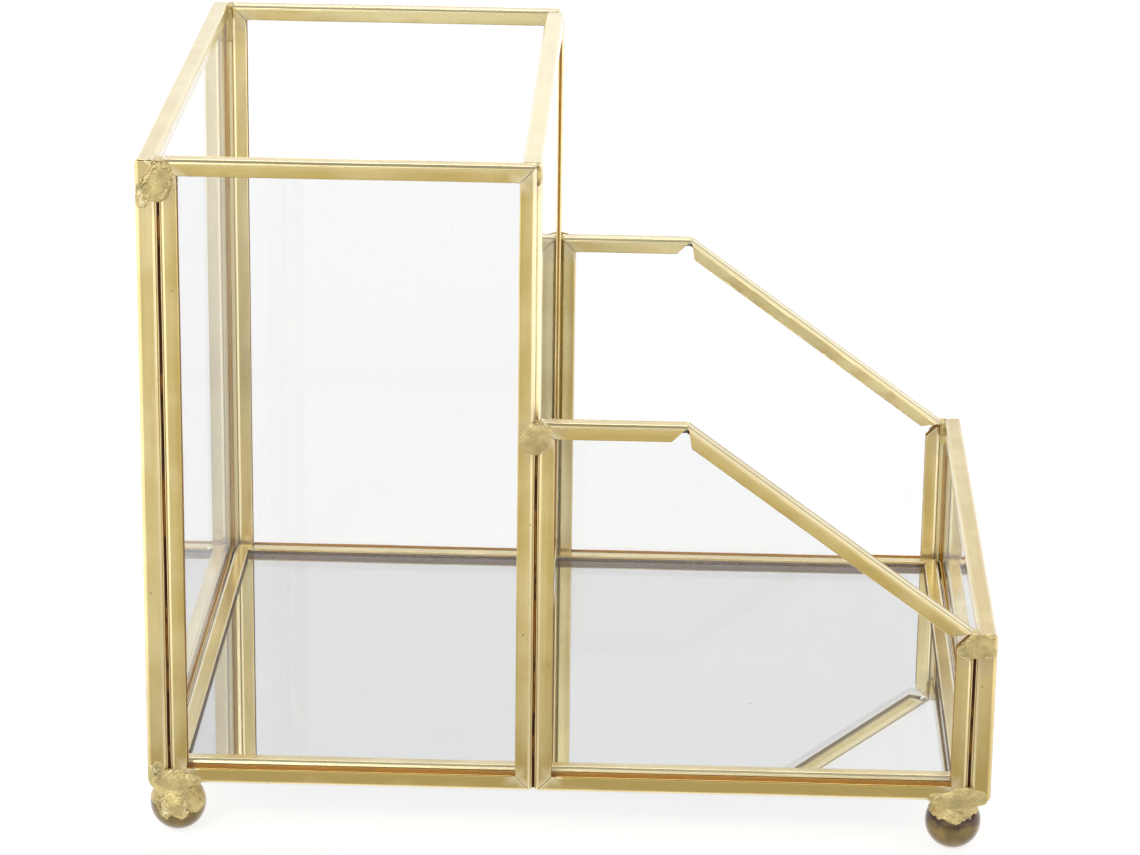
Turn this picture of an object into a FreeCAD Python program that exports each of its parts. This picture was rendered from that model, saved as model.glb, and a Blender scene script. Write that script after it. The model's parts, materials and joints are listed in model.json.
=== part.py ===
"""Stepped glass organiser box: panes in folded brass channel frames, a mirror floor, ball feet and solder joints.

Millimetres, +Z up, +X to the right, -Y towards the front. The origin is at the middle of the footprint, on the
surface the ball feet stand on. Every pane is edged by one strip of brass, folded into a channel, notched and
bent round the glass. The edged panes are set side by side and joined only by solder.
"""

import FreeCAD, Part

import math
import os

from FreeCAD import Placement, Rotation, Vector

# Overall sizes of the soldered box, without its feet
overall_width = 180.0
overall_depth = 140.0
wall_height = 138.0

# The stepped side: the low walls start beside the divider, run level, then slope down to the right wall
tall_bay_width = 82.0
step_height = 83.0
step_length = 31.0
right_wall_height = 38.4

# Glass, and the brass strip folded round its edges
glass_thickness = 3.0
glass_face_play = 0.15
glass_edge_play = 0.5
strip_thickness = 0.4
channel_leg = 3.4
fold_inner_radius = 0.1
mitre_gap = 0.12

# Spaces between the edged panes, which the solder bridges
panel_gap = 1.0
floor_play = 0.4

# Solid brass balls, rubbed flat where they stand and where they are soldered on. Their centres are set in from
# the left and right faces, and stand a little outside the inner faces of the front and rear walls.
foot_diameter = 12.0
foot_floor_flat = 2.4
foot_seat_flat = 3.0
foot_inset_left = 6.0
foot_inset_right = 7.5
foot_outside_inner_face = 0.5

# Solder: shallow domes on the faces, fillings in the gaps, and a skin that runs down over each ball
solder_rise = 0.6
solder_soak = 0.6
top_solder_reach = 4.4
top_solder_length = 9.4
step_solder_reach = 4.3
step_solder_length = 7.5
right_solder_reach = 3.6
right_solder_length = 5.5
foot_solder_reach = 3.6
foot_solder_length = 3.0
foot_solder_skin = 0.6
divider_solder_radius = 1.5
divider_solder_drop = 2.6

# Worked out from the sizes above
channel_width = glass_thickness + 2 * (glass_face_play + strip_thickness)
fold_outer_radius = fold_inner_radius + strip_thickness
foot_radius = foot_diameter / 2
foot_centre_height = math.sqrt(foot_radius ** 2 - (foot_floor_flat / 2) ** 2)
foot_height = foot_centre_height + math.sqrt(foot_radius ** 2 - (foot_seat_flat / 2) ** 2)
foot_inset_depth = channel_width - foot_outside_inner_face
cut_past = channel_width

left_face = -overall_width / 2
right_face = overall_width / 2
front_face = -overall_depth / 2
rear_face = overall_depth / 2
left_gap_start = left_face + channel_width
step_gap_start = left_face + tall_bay_width
right_gap_start = right_face - channel_width - panel_gap
low_wall_left = step_gap_start + panel_gap
frame_top = foot_height + wall_height


# Flat outlines, anticlockwise, and the bodies made from them

def rectangle(left, bottom, right, top):
    corners = [(left, bottom), (right, bottom), (right, top), (left, top)]
    return [Vector(x, y, 0) for x, y in corners]


def stepped_outline():
    """The low walls: level beside the divider, then one straight slope down to the right wall's height."""
    corners = [
        (low_wall_left, 0),
        (right_gap_start, 0),
        (right_gap_start, right_wall_height),
        (low_wall_left + step_length, step_height),
        (low_wall_left, step_height),
    ]
    return [Vector(x, y, 0) for x, y in corners]


def inset(outline, distance):
    """The same outline with every edge moved inwards by a distance."""
    moved = []
    for start, end in zip(outline, outline[1:] + outline[:1]):
        along = (end - start).normalize()
        inward = Vector(-along.y, along.x, 0)
        moved.append((start + inward * distance, along))
    corners = []
    for (first, first_along), (second, second_along) in zip(moved[-1:] + moved[:-1], moved):
        travel = (second - first).cross(second_along).z / first_along.cross(second_along).z
        corners.append(first + first_along * travel)
    return corners


def prism(outline, low, high):
    points = [Vector(corner.x, corner.y, low) for corner in outline]
    face = Part.Face(Part.makePolygon(points + points[:1]))
    return face.extrude(Vector(0, 0, high - low))


def rounded_prism(outline, low, high, radius):
    """A prism with every edge rounded, as a bent strip rounds its folds and its corners."""
    body = prism(outline, low, high)
    return body.makeFillet(radius, body.Edges)


def notch(before, corner, after):
    """The cut-out in both legs at one bend of the strip.

    Each side of the cut slopes at 45 degrees, so a square bend closes to a mitre and a shallower bend stays open.
    """
    back = (before - corner).normalize()
    ahead = (after - corner).normalize()
    back_side = back + Vector(back.y, -back.x, 0)
    ahead_side = ahead + Vector(-ahead.y, ahead.x, 0)
    half_mitre = mitre_gap / math.sqrt(2)
    length = 2 * channel_leg
    outline = [
        corner + ahead * half_mitre,
        corner + ahead * half_mitre + ahead_side * length,
        corner + back * half_mitre + back_side * length,
        corner + back * half_mitre,
    ]
    return prism(outline, -cut_past, channel_width + cut_past)


def channel_frame(outline):
    """One strip folded into a channel round an outline: the web stands outwards, the legs lie on both faces."""
    frame = rounded_prism(outline, 0, channel_width, fold_outer_radius)
    window = prism(inset(outline, channel_leg), -cut_past, channel_width + cut_past)
    pocket_outline = inset(outline, strip_thickness)
    pocket = rounded_prism(pocket_outline, strip_thickness, channel_width - strip_thickness, fold_inner_radius)
    frame = frame.cut(window).cut(pocket)
    inside_web = prism(pocket_outline, -cut_past, channel_width + cut_past)
    for index, corner in enumerate(outline):
        after = outline[(index + 1) % len(outline)]
        frame = frame.cut(notch(outline[index - 1], corner, after).common(inside_web))
    return frame


def standing_pane(outline):
    """Glass resting on the bottom web of its frame, with play above, beside and on both faces."""
    settled = [corner - Vector(0, glass_edge_play, 0) for corner in inset(outline, strip_thickness + glass_edge_play)]
    low = strip_thickness + glass_face_play
    return prism(settled, low, low + glass_thickness)


def lying_pane(outline):
    """Glass lying on the lower leg of its frame, with play all round and above."""
    centred = inset(outline, strip_thickness + glass_edge_play)
    return prism(centred, strip_thickness, strip_thickness + glass_thickness)


# Where each edged pane stands

def across(back_of_panel):
    """Placement of a panel that faces the front: its outline is in X and Z."""
    return Placement(Vector(0, back_of_panel, foot_height), Rotation(Vector(1, 0, 0), 90))


def along_depth(left_of_panel):
    """Placement of a panel that faces the side: its outline is in Y and Z."""
    return Placement(Vector(left_of_panel, 0, foot_height), Rotation(Vector(1, 1, 1), 120))


def placed(shape, placement):
    moved = shape.copy()
    moved.Placement = placement
    return moved


def wall_panels():
    tall = rectangle(left_gap_start + panel_gap, 0, step_gap_start, wall_height)
    stepped = stepped_outline()
    left_side = rectangle(front_face, 0, rear_face, wall_height)
    right_side = rectangle(front_face, 0, rear_face, right_wall_height)
    divider = rectangle(front_face + channel_width, channel_width, rear_face - channel_width, wall_height)
    return {
        "tall_front": (tall, across(front_face + channel_width)),
        "tall_rear": (tall, across(rear_face)),
        "low_front": (stepped, across(front_face + channel_width)),
        "low_rear": (stepped, across(rear_face)),
        "left_side": (left_side, along_depth(left_face)),
        "right_side": (right_side, along_depth(right_face - channel_width)),
        "divider": (divider, along_depth(low_wall_left - channel_width)),
    }


def floor_panel():
    margin = channel_width + floor_play
    outline = rectangle(left_face + margin, front_face + margin, right_face - margin, rear_face - margin)
    return outline, Placement(Vector(0, 0, foot_height), Rotation())


# Feet and solder

def foot_places():
    places = {}
    for side, x in (("left", left_face + foot_inset_left), ("right", right_face - foot_inset_right)):
        places["front_" + side] = Vector(x, front_face + foot_inset_depth, foot_centre_height)
        places["rear_" + side] = Vector(x, rear_face - foot_inset_depth, foot_centre_height)
    return places


def upright_slab(centre, radius, low, high):
    return Part.makeCylinder(radius, high - low, Vector(centre.x, centre.y, low))


def ball_foot(centre):
    ball = Part.makeSphere(foot_radius, centre)
    return ball.common(upright_slab(centre, foot_diameter, 0, foot_height))


def dome(centre, outward, reach):
    """A shallow dome of solder on a face, soaking a little way in behind it."""
    radius = (reach ** 2 + solder_rise ** 2) / (2 * solder_rise)
    ball = Part.makeSphere(radius, centre - outward * (radius - solder_rise))
    disc = Part.makeCylinder(reach, solder_soak + solder_rise, centre - outward * solder_soak, outward)
    return ball.common(disc)


def gap_filling(gap_start, outward, low, high):
    """Solder drawn into the gap between two panels; the panels are cut from it afterwards."""
    depth = channel_leg
    front = front_face if outward.y < 0 else rear_face - depth
    wide = panel_gap + 2 * fold_outer_radius
    return Part.makeBox(wide, depth, high - low, Vector(gap_start - fold_outer_radius, front, low))


def face_joint(gap_start, outward, reach, length, top, centre_drop):
    """A dome over the top of a gap, with the filling behind it; nothing stands above the joint's top."""
    face = front_face if outward.y < 0 else rear_face
    centre = Vector(gap_start + panel_gap / 2, face, top - centre_drop)
    joint = dome(centre, outward, reach).fuse(gap_filling(gap_start, outward, top - length, top))
    return joint


def trimmed_above(joint, left, low):
    """The joint without what would hang in the air to the right of a place and above a height."""
    box = joint.BoundBox
    air = Part.makeBox(box.XLength, 2 * box.YLength, box.ZLength, Vector(left, box.Center.y - box.YLength, low))
    return joint.cut(air)


def divider_joint(outward):
    """A bead in the corner between the tall frame's side and the divider's end, half sunk into that end."""
    inwards = -outward.y * (channel_width - divider_solder_radius / 2)
    face = front_face if outward.y < 0 else rear_face
    centre = Vector(step_gap_start, face + inwards, frame_top - divider_solder_drop)
    return Part.makeSphere(divider_solder_radius, centre)


def foot_joint(foot, gap_start, outward):
    """Solder over the upper half of a ball, up the faces beside it and into the bottom of the gap."""
    skin = Part.makeSphere(foot_radius + foot_solder_skin, foot)
    skin = skin.common(upright_slab(foot, foot_diameter, foot.z, foot_height))
    face = front_face if outward.y < 0 else rear_face
    centre = Vector(gap_start + panel_gap / 2, face, foot_height + foot_solder_reach / 2)
    filling = gap_filling(gap_start, outward, foot_height, foot_height + foot_solder_length)
    return skin.fuse([dome(centre, outward, foot_solder_reach), filling]).cut(ball_foot(foot))


def solder_joints():
    feet = foot_places()
    joints = {}
    step_top = foot_height + step_height
    right_top = foot_height + right_wall_height
    for end, outward in (("front", Vector(0, -1, 0)), ("rear", Vector(0, 1, 0))):
        joints["solder_top_left_" + end] = face_joint(
            left_gap_start, outward, top_solder_reach, top_solder_length, frame_top, top_solder_reach)
        step_joint = face_joint(
            step_gap_start, outward, step_solder_reach, step_solder_length, step_top, step_solder_reach / 2)
        joints["solder_step_" + end] = trimmed_above(step_joint, step_gap_start, step_top)
        joints["solder_top_right_" + end] = face_joint(
            right_gap_start, outward, right_solder_reach, right_solder_length, right_top, right_solder_reach)
        joints["solder_divider_" + end] = divider_joint(outward)
        joints["solder_foot_left_" + end] = foot_joint(feet[end + "_left"], left_gap_start, outward)
        joints["solder_foot_right_" + end] = foot_joint(feet[end + "_right"], right_gap_start, outward)
    return joints


# The whole object

def make_nodes():
    nodes = {}
    envelopes = []
    for name, (outline, placement) in wall_panels().items():
        nodes["frame_" + name] = placed(channel_frame(outline), placement)
        nodes["glass_" + name] = placed(standing_pane(outline), placement)
        envelopes.append(placed(rounded_prism(outline, 0, channel_width, fold_outer_radius), placement))
    outline, placement = floor_panel()
    nodes["frame_floor"] = placed(channel_frame(outline), placement)
    nodes["mirror_floor"] = placed(lying_pane(outline), placement)
    envelopes.append(placed(rounded_prism(outline, 0, channel_width, fold_outer_radius), placement))
    for place, centre in foot_places().items():
        nodes["foot_" + place] = ball_foot(centre)
    for name, joint in solder_joints().items():
        nodes[name] = joint.cut(envelopes)
    return nodes


def main():
    os.makedirs("parts", exist_ok=True)
    for name, shape in make_nodes().items():
        if not shape.isValid() or not shape.Solids:
            raise ValueError(name + " is not a valid solid")
        shape.exportStep("parts/" + name + ".step")
        print(f"{name}: {len(shape.Solids)} solid, {shape.Volume / 1000:.3f} cm3")


main()
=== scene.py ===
"""Stepped glass jewelry box: folded brass channel strips round glass, a mirror floor, ball feet and solder joints.

Laid out as an add-on: property groups hold the sizes and colours, one operator makes each group of like pieces,
and a sidebar panel lists them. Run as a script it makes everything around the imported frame.
"""

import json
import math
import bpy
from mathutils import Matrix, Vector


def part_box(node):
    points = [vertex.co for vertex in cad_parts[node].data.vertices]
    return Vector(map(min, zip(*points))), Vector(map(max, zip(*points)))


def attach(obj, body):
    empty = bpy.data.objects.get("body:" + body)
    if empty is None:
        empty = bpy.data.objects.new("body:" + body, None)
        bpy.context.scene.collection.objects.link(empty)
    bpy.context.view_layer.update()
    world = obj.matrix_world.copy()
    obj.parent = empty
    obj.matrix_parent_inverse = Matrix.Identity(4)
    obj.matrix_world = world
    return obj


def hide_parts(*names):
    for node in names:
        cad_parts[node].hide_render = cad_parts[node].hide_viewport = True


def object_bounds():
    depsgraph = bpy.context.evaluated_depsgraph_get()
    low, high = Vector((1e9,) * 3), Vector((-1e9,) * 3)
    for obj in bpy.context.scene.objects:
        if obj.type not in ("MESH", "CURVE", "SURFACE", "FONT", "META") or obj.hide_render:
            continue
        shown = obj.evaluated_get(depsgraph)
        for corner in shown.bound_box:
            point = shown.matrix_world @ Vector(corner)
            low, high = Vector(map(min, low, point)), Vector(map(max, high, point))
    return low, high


bl_info = {
    "name": "Stepped Glass Jewelry Box",
    "version": (1, 0, 0),
    "blender": (4, 5, 0),
    "location": "View3D > Sidebar > Glass Box",
    "description": "Folded brass strips, glass, mirror floor, ball feet and solder joints of a stepped glass box",
    "category": "Object",
}

import bmesh
import bpy
import numpy as np
from mathutils import Matrix, Vector

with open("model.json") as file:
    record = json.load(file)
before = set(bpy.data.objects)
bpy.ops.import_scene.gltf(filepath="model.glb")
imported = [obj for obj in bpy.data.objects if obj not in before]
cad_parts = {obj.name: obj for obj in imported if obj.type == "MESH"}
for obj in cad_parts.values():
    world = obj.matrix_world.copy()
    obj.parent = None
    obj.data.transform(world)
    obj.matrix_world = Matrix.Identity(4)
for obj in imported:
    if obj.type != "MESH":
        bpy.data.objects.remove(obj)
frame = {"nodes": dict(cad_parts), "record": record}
cad_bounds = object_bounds()

MM = 0.001
WALLS = ("tall_front", "tall_rear", "low_front", "low_rear", "left_side", "right_side", "divider")
FRAMES = tuple("frame_" + name for name in WALLS + ("floor",))
PANES = tuple("glass_" + name for name in WALLS)
# Painted shade: each frame gets its own deeper or paler brass, matched to how dark its reflections look; the frames
# facing the front are the deepest.
STRIP_TONES_AND_SHADE = {"frame_tall_front": 0.7, "frame_low_front": 0.8, "frame_left_side": 0.65, "frame_right_side": 1.0,
               "frame_tall_rear": 0.0, "frame_low_rear": 0.1, "frame_floor": 0.0, "frame_divider": 0.15}
FEET = tuple("foot_" + place for place in ("front_left", "rear_left", "front_right", "rear_right"))


def record_colour(slot):
    """The colour that the record gives to a material slot."""
    return next(entry["base_color"][:3] for entry in frame["record"]["materials"] if entry["slot"] == slot)


# Settings

class StripSettings(bpy.types.PropertyGroup):
    """Brass strips folded round the glass"""
    pale: bpy.props.FloatVectorProperty(
        name="Pale Brass", description="Colour of the clean polished brass", subtype="COLOR",
        default=(0.95, 0.80, 0.39), min=0, max=1)
    deep: bpy.props.FloatVectorProperty(
        name="Deep Brass", description="Colour where the lacquer is thicker or the brass is duller", subtype="COLOR",
        default=(0.61, 0.43, 0.095), min=0, max=1)
    heated: bpy.props.FloatVectorProperty(
        name="Heated Brass", description="Pinkish grey that the soldering flame leaves", subtype="COLOR",
        default=(0.52, 0.41, 0.27), min=0, max=1)
    # Painted shade and reflection: this orange brown stands in for the brass inside the channel, shaded and lit by its
    # own reflections.
    inside: bpy.props.FloatVectorProperty(
        name="Channel Inside", description="Orange brown of the stained inside of the channel", subtype="COLOR",
        default=(0.74, 0.37, 0.045), min=0, max=1)
    # Painted highlight: this pale colour on the folds and cut mitre edges stands in for the bright lines they catch,
    # partly rubbed wear.
    worn_and_highlight: bpy.props.FloatVectorProperty(
        name="Worn Folds", description="Pale colour of the folds, where the strip is rubbed bright", subtype="COLOR",
        default=(0.98, 0.86, 0.52), min=0, max=1)
    fold: bpy.props.FloatProperty(
        name="Fold Radius", description="Outer radius of the folds", unit="LENGTH", default=0.9 * MM)
    tight_fold: bpy.props.FloatProperty(
        name="Packed Fold Radius", description="Outer radius of the folds in the packed frame", unit="LENGTH",
        default=0.5 * MM)
    thickness: bpy.props.FloatProperty(
        name="Strip Thickness", description="Thickness of the brass strip", unit="LENGTH", default=0.4 * MM)
    leg: bpy.props.FloatProperty(
        name="Leg", description="Height of each leg of the channel", unit="LENGTH", default=3.4 * MM)
    lip: bpy.props.FloatProperty(
        name="Lip Rounding", description="How far the free edge of a leg is rolled over", unit="LENGTH",
        default=0.3 * MM)
    mitre: bpy.props.FloatProperty(
        name="Mitre Rounding", description="Rounding of the cut ends of the legs", unit="LENGTH",
        default=0.16 * MM)
    level_length: bpy.props.FloatProperty(
        name="Level Length", description="Level top of the low walls before they slope", unit="LENGTH",
        default=31.0 * MM)
    wave: bpy.props.FloatProperty(
        name="Waviness", description="How far the hand-folded strips wander", unit="LENGTH", default=0.07 * MM)
    wave_length: bpy.props.FloatProperty(
        name="Wave Length", description="Distance between waves along a strip", unit="LENGTH", default=17.0 * MM)
    ring_spacing: bpy.props.FloatProperty(
        name="Ring Spacing", description="Distance between the cuts that let a strip bend", unit="LENGTH",
        default=3.0 * MM)
    heat_reach: bpy.props.FloatProperty(
        name="Heat Reach", description="How far from a solder joint the brass is discoloured", unit="LENGTH",
        default=11 * MM)


class GlassSettings(bpy.types.PropertyGroup):
    """Clear panes and the mirror floor"""
    tint: bpy.props.FloatVectorProperty(
        name="Glass Tint", description="Colour left by one pass through a pane", subtype="COLOR",
        default=(0.905, 0.908, 0.908), min=0, max=1)
    mirror_tint: bpy.props.FloatVectorProperty(
        name="Mirror Glass Tint", description="Colour of the glass over the silver", subtype="COLOR",
        default=(0.985, 0.985, 0.985), min=0, max=1)
    silver: bpy.props.FloatVectorProperty(
        name="Silver", description="Colour of the mirror's silver", subtype="COLOR",
        default=(0.98, 0.98, 0.98), min=0, max=1)
    backing: bpy.props.FloatVectorProperty(
        name="Backing Paint", description="Colour of the paint under the silver", subtype="COLOR",
        default=(0.19, 0.20, 0.21), min=0, max=1)
    silver_thickness: bpy.props.FloatProperty(
        name="Silver Thickness", description="Thickness of the silver", unit="LENGTH", default=0.03 * MM)
    paint_thickness: bpy.props.FloatProperty(
        name="Paint Thickness", description="Thickness of the backing paint", unit="LENGTH", default=0.12 * MM)
    arris: bpy.props.FloatProperty(
        name="Arris", description="Ground edge of the mirror glass", unit="LENGTH", default=0.25 * MM)


class FootSettings(bpy.types.PropertyGroup):
    """Solid brass balls"""
    colour: bpy.props.FloatVectorProperty(
        name="Ball Brass", description="Colour of the darker brass of the balls", subtype="COLOR",
        default=(0.165, 0.113, 0.04), min=0, max=1)
    stain: bpy.props.FloatVectorProperty(
        name="Heat Stain", description="Purple brown stain beside the solder", subtype="COLOR",
        default=(0.085, 0.046, 0.045), min=0, max=1)
    floor_flat: bpy.props.FloatProperty(
        name="Floor Flat", description="Width of the flat that the ball stands on", unit="LENGTH", default=2.4 * MM)
    seat_flat: bpy.props.FloatProperty(
        name="Seat Flat", description="Width of the flat under the frame", unit="LENGTH", default=3.0 * MM)
    segments: bpy.props.IntProperty(
        name="Segments", description="Faces round a ball", default=96, min=12)


class SolderSettings(bpy.types.PropertyGroup):
    """Lumpy solder at the joints"""
    colour: bpy.props.FloatVectorProperty(
        name="Solder", description="Colour of the brass-plated solder", subtype="COLOR",
        default=(0.70, 0.565, 0.255), min=0, max=1)
    # Painted highlight: the bright colour on the broken ridges and raised flakes stands partly for fresh broken metal
    # and partly for glints.
    bright: bpy.props.FloatVectorProperty(
        name="Bright Solder", description="Colour of the bright broken edges", subtype="COLOR",
        default=(0.92, 0.82, 0.54), min=0, max=1)
    burnt: bpy.props.FloatVectorProperty(
        name="Burnt Flux", description="Colour left in the pits", subtype="COLOR",
        default=(0.10, 0.062, 0.03), min=0, max=1)
    grid: bpy.props.FloatProperty(
        name="Grid", description="Spacing of the grid that the solder is cast on", unit="LENGTH", default=0.12 * MM)
    lump: bpy.props.FloatProperty(
        name="Lumps", description="Height of the broad lumps", unit="LENGTH", default=0.09 * MM)
    grain: bpy.props.FloatProperty(
        name="Grain", description="Height of the grain", unit="LENGTH", default=0.035 * MM)
    crumbs: bpy.props.FloatProperty(
        name="Crumbs", description="Height of the crumbs on broken edges", unit="LENGTH", default=0.2 * MM)
    seam_depth: bpy.props.FloatProperty(
        name="Seam Depth", description="How far behind the face the flux in a gap lies", unit="LENGTH",
        default=0.8 * MM)
    seam_thickness: bpy.props.FloatProperty(
        name="Seam Thickness", description="Thickness of the flux in a gap", unit="LENGTH", default=1.6 * MM)


class StageSettings(bpy.types.PropertyGroup):
    """Camera, floor and lights"""
    lens: bpy.props.FloatProperty(
        name="Lens", description="Focal length on a 36 mm wide sensor, in millimetres", default=132.34)
    camera_place: bpy.props.FloatVectorProperty(
        name="Camera Place", description="Where the camera stands", unit="LENGTH",
        default=(22.533 * MM, -890.495 * MM, 377.829 * MM))
    turn: bpy.props.FloatProperty(
        name="Turn", description="Camera turned to the left", unit="ROTATION", default=math.radians(1.611))
    tilt: bpy.props.FloatProperty(
        name="Tilt", description="Camera tilted down", unit="ROTATION", default=math.radians(19.067))
    roll: bpy.props.FloatProperty(
        name="Roll", description="Camera rolled", unit="ROTATION", default=math.radians(0.731))
    floor_colour: bpy.props.FloatVectorProperty(
        name="Floor", description="Colour of the floor", subtype="COLOR", default=(0.42, 0.42, 0.42), min=0, max=1)
    floor_glow: bpy.props.FloatProperty(
        name="Floor Glow", description="Brightness of the light table under the box", default=0.78)
    side_glow: bpy.props.FloatProperty(
        name="Side Glow", description="Brightness of the light table on both sides of the box", default=1.05)
    floor_dim: bpy.props.FloatProperty(
        name="Dim Front", description="Share of the glow lost in front of the box", subtype="FACTOR", default=0.66,
        min=0, max=1)
    floor_size: bpy.props.FloatProperty(
        name="Floor Size", description="Width of the floor", unit="LENGTH", default=9.0)
    rear_sky: bpy.props.FloatProperty(
        name="Rear Wall", description="Brightness of the studio behind the object", default=1.03)
    front_sky: bpy.props.FloatProperty(
        name="Front Wall", description="Brightness of the studio behind the camera", default=0.95)
    side_sky: bpy.props.FloatProperty(
        name="Side Walls", description="Brightness of the studio on both sides", default=0.62)
    ceiling: bpy.props.FloatProperty(
        name="Ceiling", description="Brightness of the studio overhead", default=0.3)
    softbox: bpy.props.FloatProperty(
        name="Softbox", description="Power of the softbox above the back", unit="POWER", default=4.0)


class GlassBoxSettings(bpy.types.PropertyGroup):
    """All settings of the box"""
    strips: bpy.props.PointerProperty(type=StripSettings)
    glass: bpy.props.PointerProperty(type=GlassSettings)
    feet: bpy.props.PointerProperty(type=FootSettings)
    solder: bpy.props.PointerProperty(type=SolderSettings)
    stage: bpy.props.PointerProperty(type=StageSettings)


def settings():
    return bpy.context.scene.glass_box


# Smooth random values and soft shapes, for the waves in the strips and the lumps in the solder

class SmoothNoise:
    """Smooth random values through space, between -1 and 1, the same on every run."""

    def __init__(self, seed, lattice=24):
        self.lattice = lattice
        self.values = np.random.default_rng(seed).uniform(-1, 1, (lattice, lattice, lattice))

    def at(self, points, size):
        where = np.asarray(points, float) / size
        cell = np.floor(where).astype(int)
        part = where - cell
        part = part * part * (3 - 2 * part)
        low, high = cell % self.lattice, (cell + 1) % self.lattice
        total = 0
        for x, y, z in np.ndindex(2, 2, 2):
            ends = [(high if side else low)[..., axis] for axis, side in enumerate((x, y, z))]
            shares = [part[..., axis] if side else 1 - part[..., axis] for axis, side in enumerate((x, y, z))]
            total = total + shares[0] * shares[1] * shares[2] * self.values[ends[0], ends[1], ends[2]]
        return total


def blob(points, centre, radii):
    """Distance to an ellipsoid, exact at its surface and near enough beside it."""
    radii = np.array(radii, float)
    offset = points - np.array(centre, float)
    scaled = np.linalg.norm(offset / radii, axis=-1)
    steep = np.linalg.norm(offset / radii ** 2, axis=-1)
    return scaled * (scaled - 1) / np.maximum(steep, 1e-9)


def bead(points, start, end, start_radius, end_radius=None):
    """Distance to a bead of solder drawn from one point to another."""
    if end_radius is None:
        end_radius = start_radius
    start, end = np.array(start, float), np.array(end, float)
    along = end - start
    share = np.clip((points - start) @ along / (along @ along), 0, 1)
    nearest = start + share[..., None] * along
    return np.linalg.norm(points - nearest, axis=-1) - (start_radius + (end_radius - start_radius) * share)


def block(points, low, high, rounding):
    """Distance to a block with rounded edges."""
    low, high = np.array(low, float), np.array(high, float)
    outside = np.abs(points - (low + high) / 2) - (high - low) / 2 + rounding
    return np.linalg.norm(np.maximum(outside, 0), axis=-1) + np.minimum(outside.max(axis=-1), 0) - rounding


def melt(distances, softness):
    """Several shapes flowing into each other."""
    joined = distances[0]
    for distance in distances[1:]:
        share = np.clip(0.5 + 0.5 * (joined - distance) / softness, 0, 1)
        joined = joined * (1 - share) + distance * share - softness * share * (1 - share)
    return joined


def skin_of(values, low, step):
    """Vertices and faces of the surface where values on a grid change sign: one vertex in each crossed cell."""
    cells = tuple(size - 1 for size in values.shape)
    total = np.zeros(cells + (3,))
    crossings = np.zeros(cells)
    for axis in range(3):
        sideways = [other for other in range(3) if other != axis]
        for first, second in np.ndindex(2, 2):
            start = [0, 0, 0]
            start[sideways[0]], start[sideways[1]] = first, second
            end = list(start)
            end[axis] = 1
            near = values[tuple(slice(offset, offset + size) for offset, size in zip(start, cells))]
            far = values[tuple(slice(offset, offset + size) for offset, size in zip(end, cells))]
            crossed = (near < 0) != (far < 0)
            share = np.where(crossed, near / np.where(crossed, near - far, 1), 0)
            for part in range(3):
                total[..., part] += np.where(crossed, share if part == axis else start[part], 0)
            crossings += crossed
    used = crossings > 0
    number = np.full(cells, -1)
    number[used] = np.arange(used.sum())
    places = total[used] / crossings[used][:, None] + np.argwhere(used)
    faces = []
    for axis in range(3):
        first, second = (axis + 1) % 3, (axis + 2) % 3
        before = np.take(values, range(values.shape[axis] - 1), axis=axis)
        after = np.take(values, range(1, values.shape[axis]), axis=axis)
        edges = np.argwhere((before < 0) != (after < 0))
        inner = (edges[:, first] > 0) & (edges[:, second] > 0)
        inner &= (edges[:, first] < cells[first]) & (edges[:, second] < cells[second])
        edges = edges[inner]
        corners = []
        for back_first, back_second in ((1, 1), (0, 1), (0, 0), (1, 0)):
            cell = edges.copy()
            cell[:, first] -= back_first
            cell[:, second] -= back_second
            corners.append(number[cell[:, 0], cell[:, 1], cell[:, 2]])
        quads = np.stack(corners, axis=1)
        leaves = before[edges[:, 0], edges[:, 1], edges[:, 2]] < 0
        faces.append(np.where(leaves[:, None], quads, quads[:, ::-1]))
    return np.array(low) + places * step, np.concatenate(faces)


# Pieces

def add_piece(name, mesh, material, replaced=()):
    """A finished piece that rides on the box."""
    piece = bpy.data.objects.new(name, mesh)
    bpy.context.scene.collection.objects.link(piece)
    mesh.materials.clear()
    mesh.materials.append(material)
    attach(piece, "root")
    if replaced:
        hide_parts(*replaced)
    return piece


def mesh_from(work, name):
    mesh = bpy.data.meshes.new(name)
    work.to_mesh(mesh)
    work.free()
    return mesh


def shade_smooth(mesh, sharp_angle):
    mesh.shade_smooth()
    mesh.set_sharp_from_angle(angle=math.radians(sharp_angle))


def even_normals(piece):
    """Flat faces stay flat beside the rounded ones."""
    modifier = piece.modifiers.new("Even Normals", "WEIGHTED_NORMAL")
    modifier.keep_sharp = True


def joint_places():
    """Middle of each solder joint's front, by name."""
    return {node: sum(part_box(node), Vector()) / 2 for node in frame["nodes"] if node.startswith("solder_")}


# Material building

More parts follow.
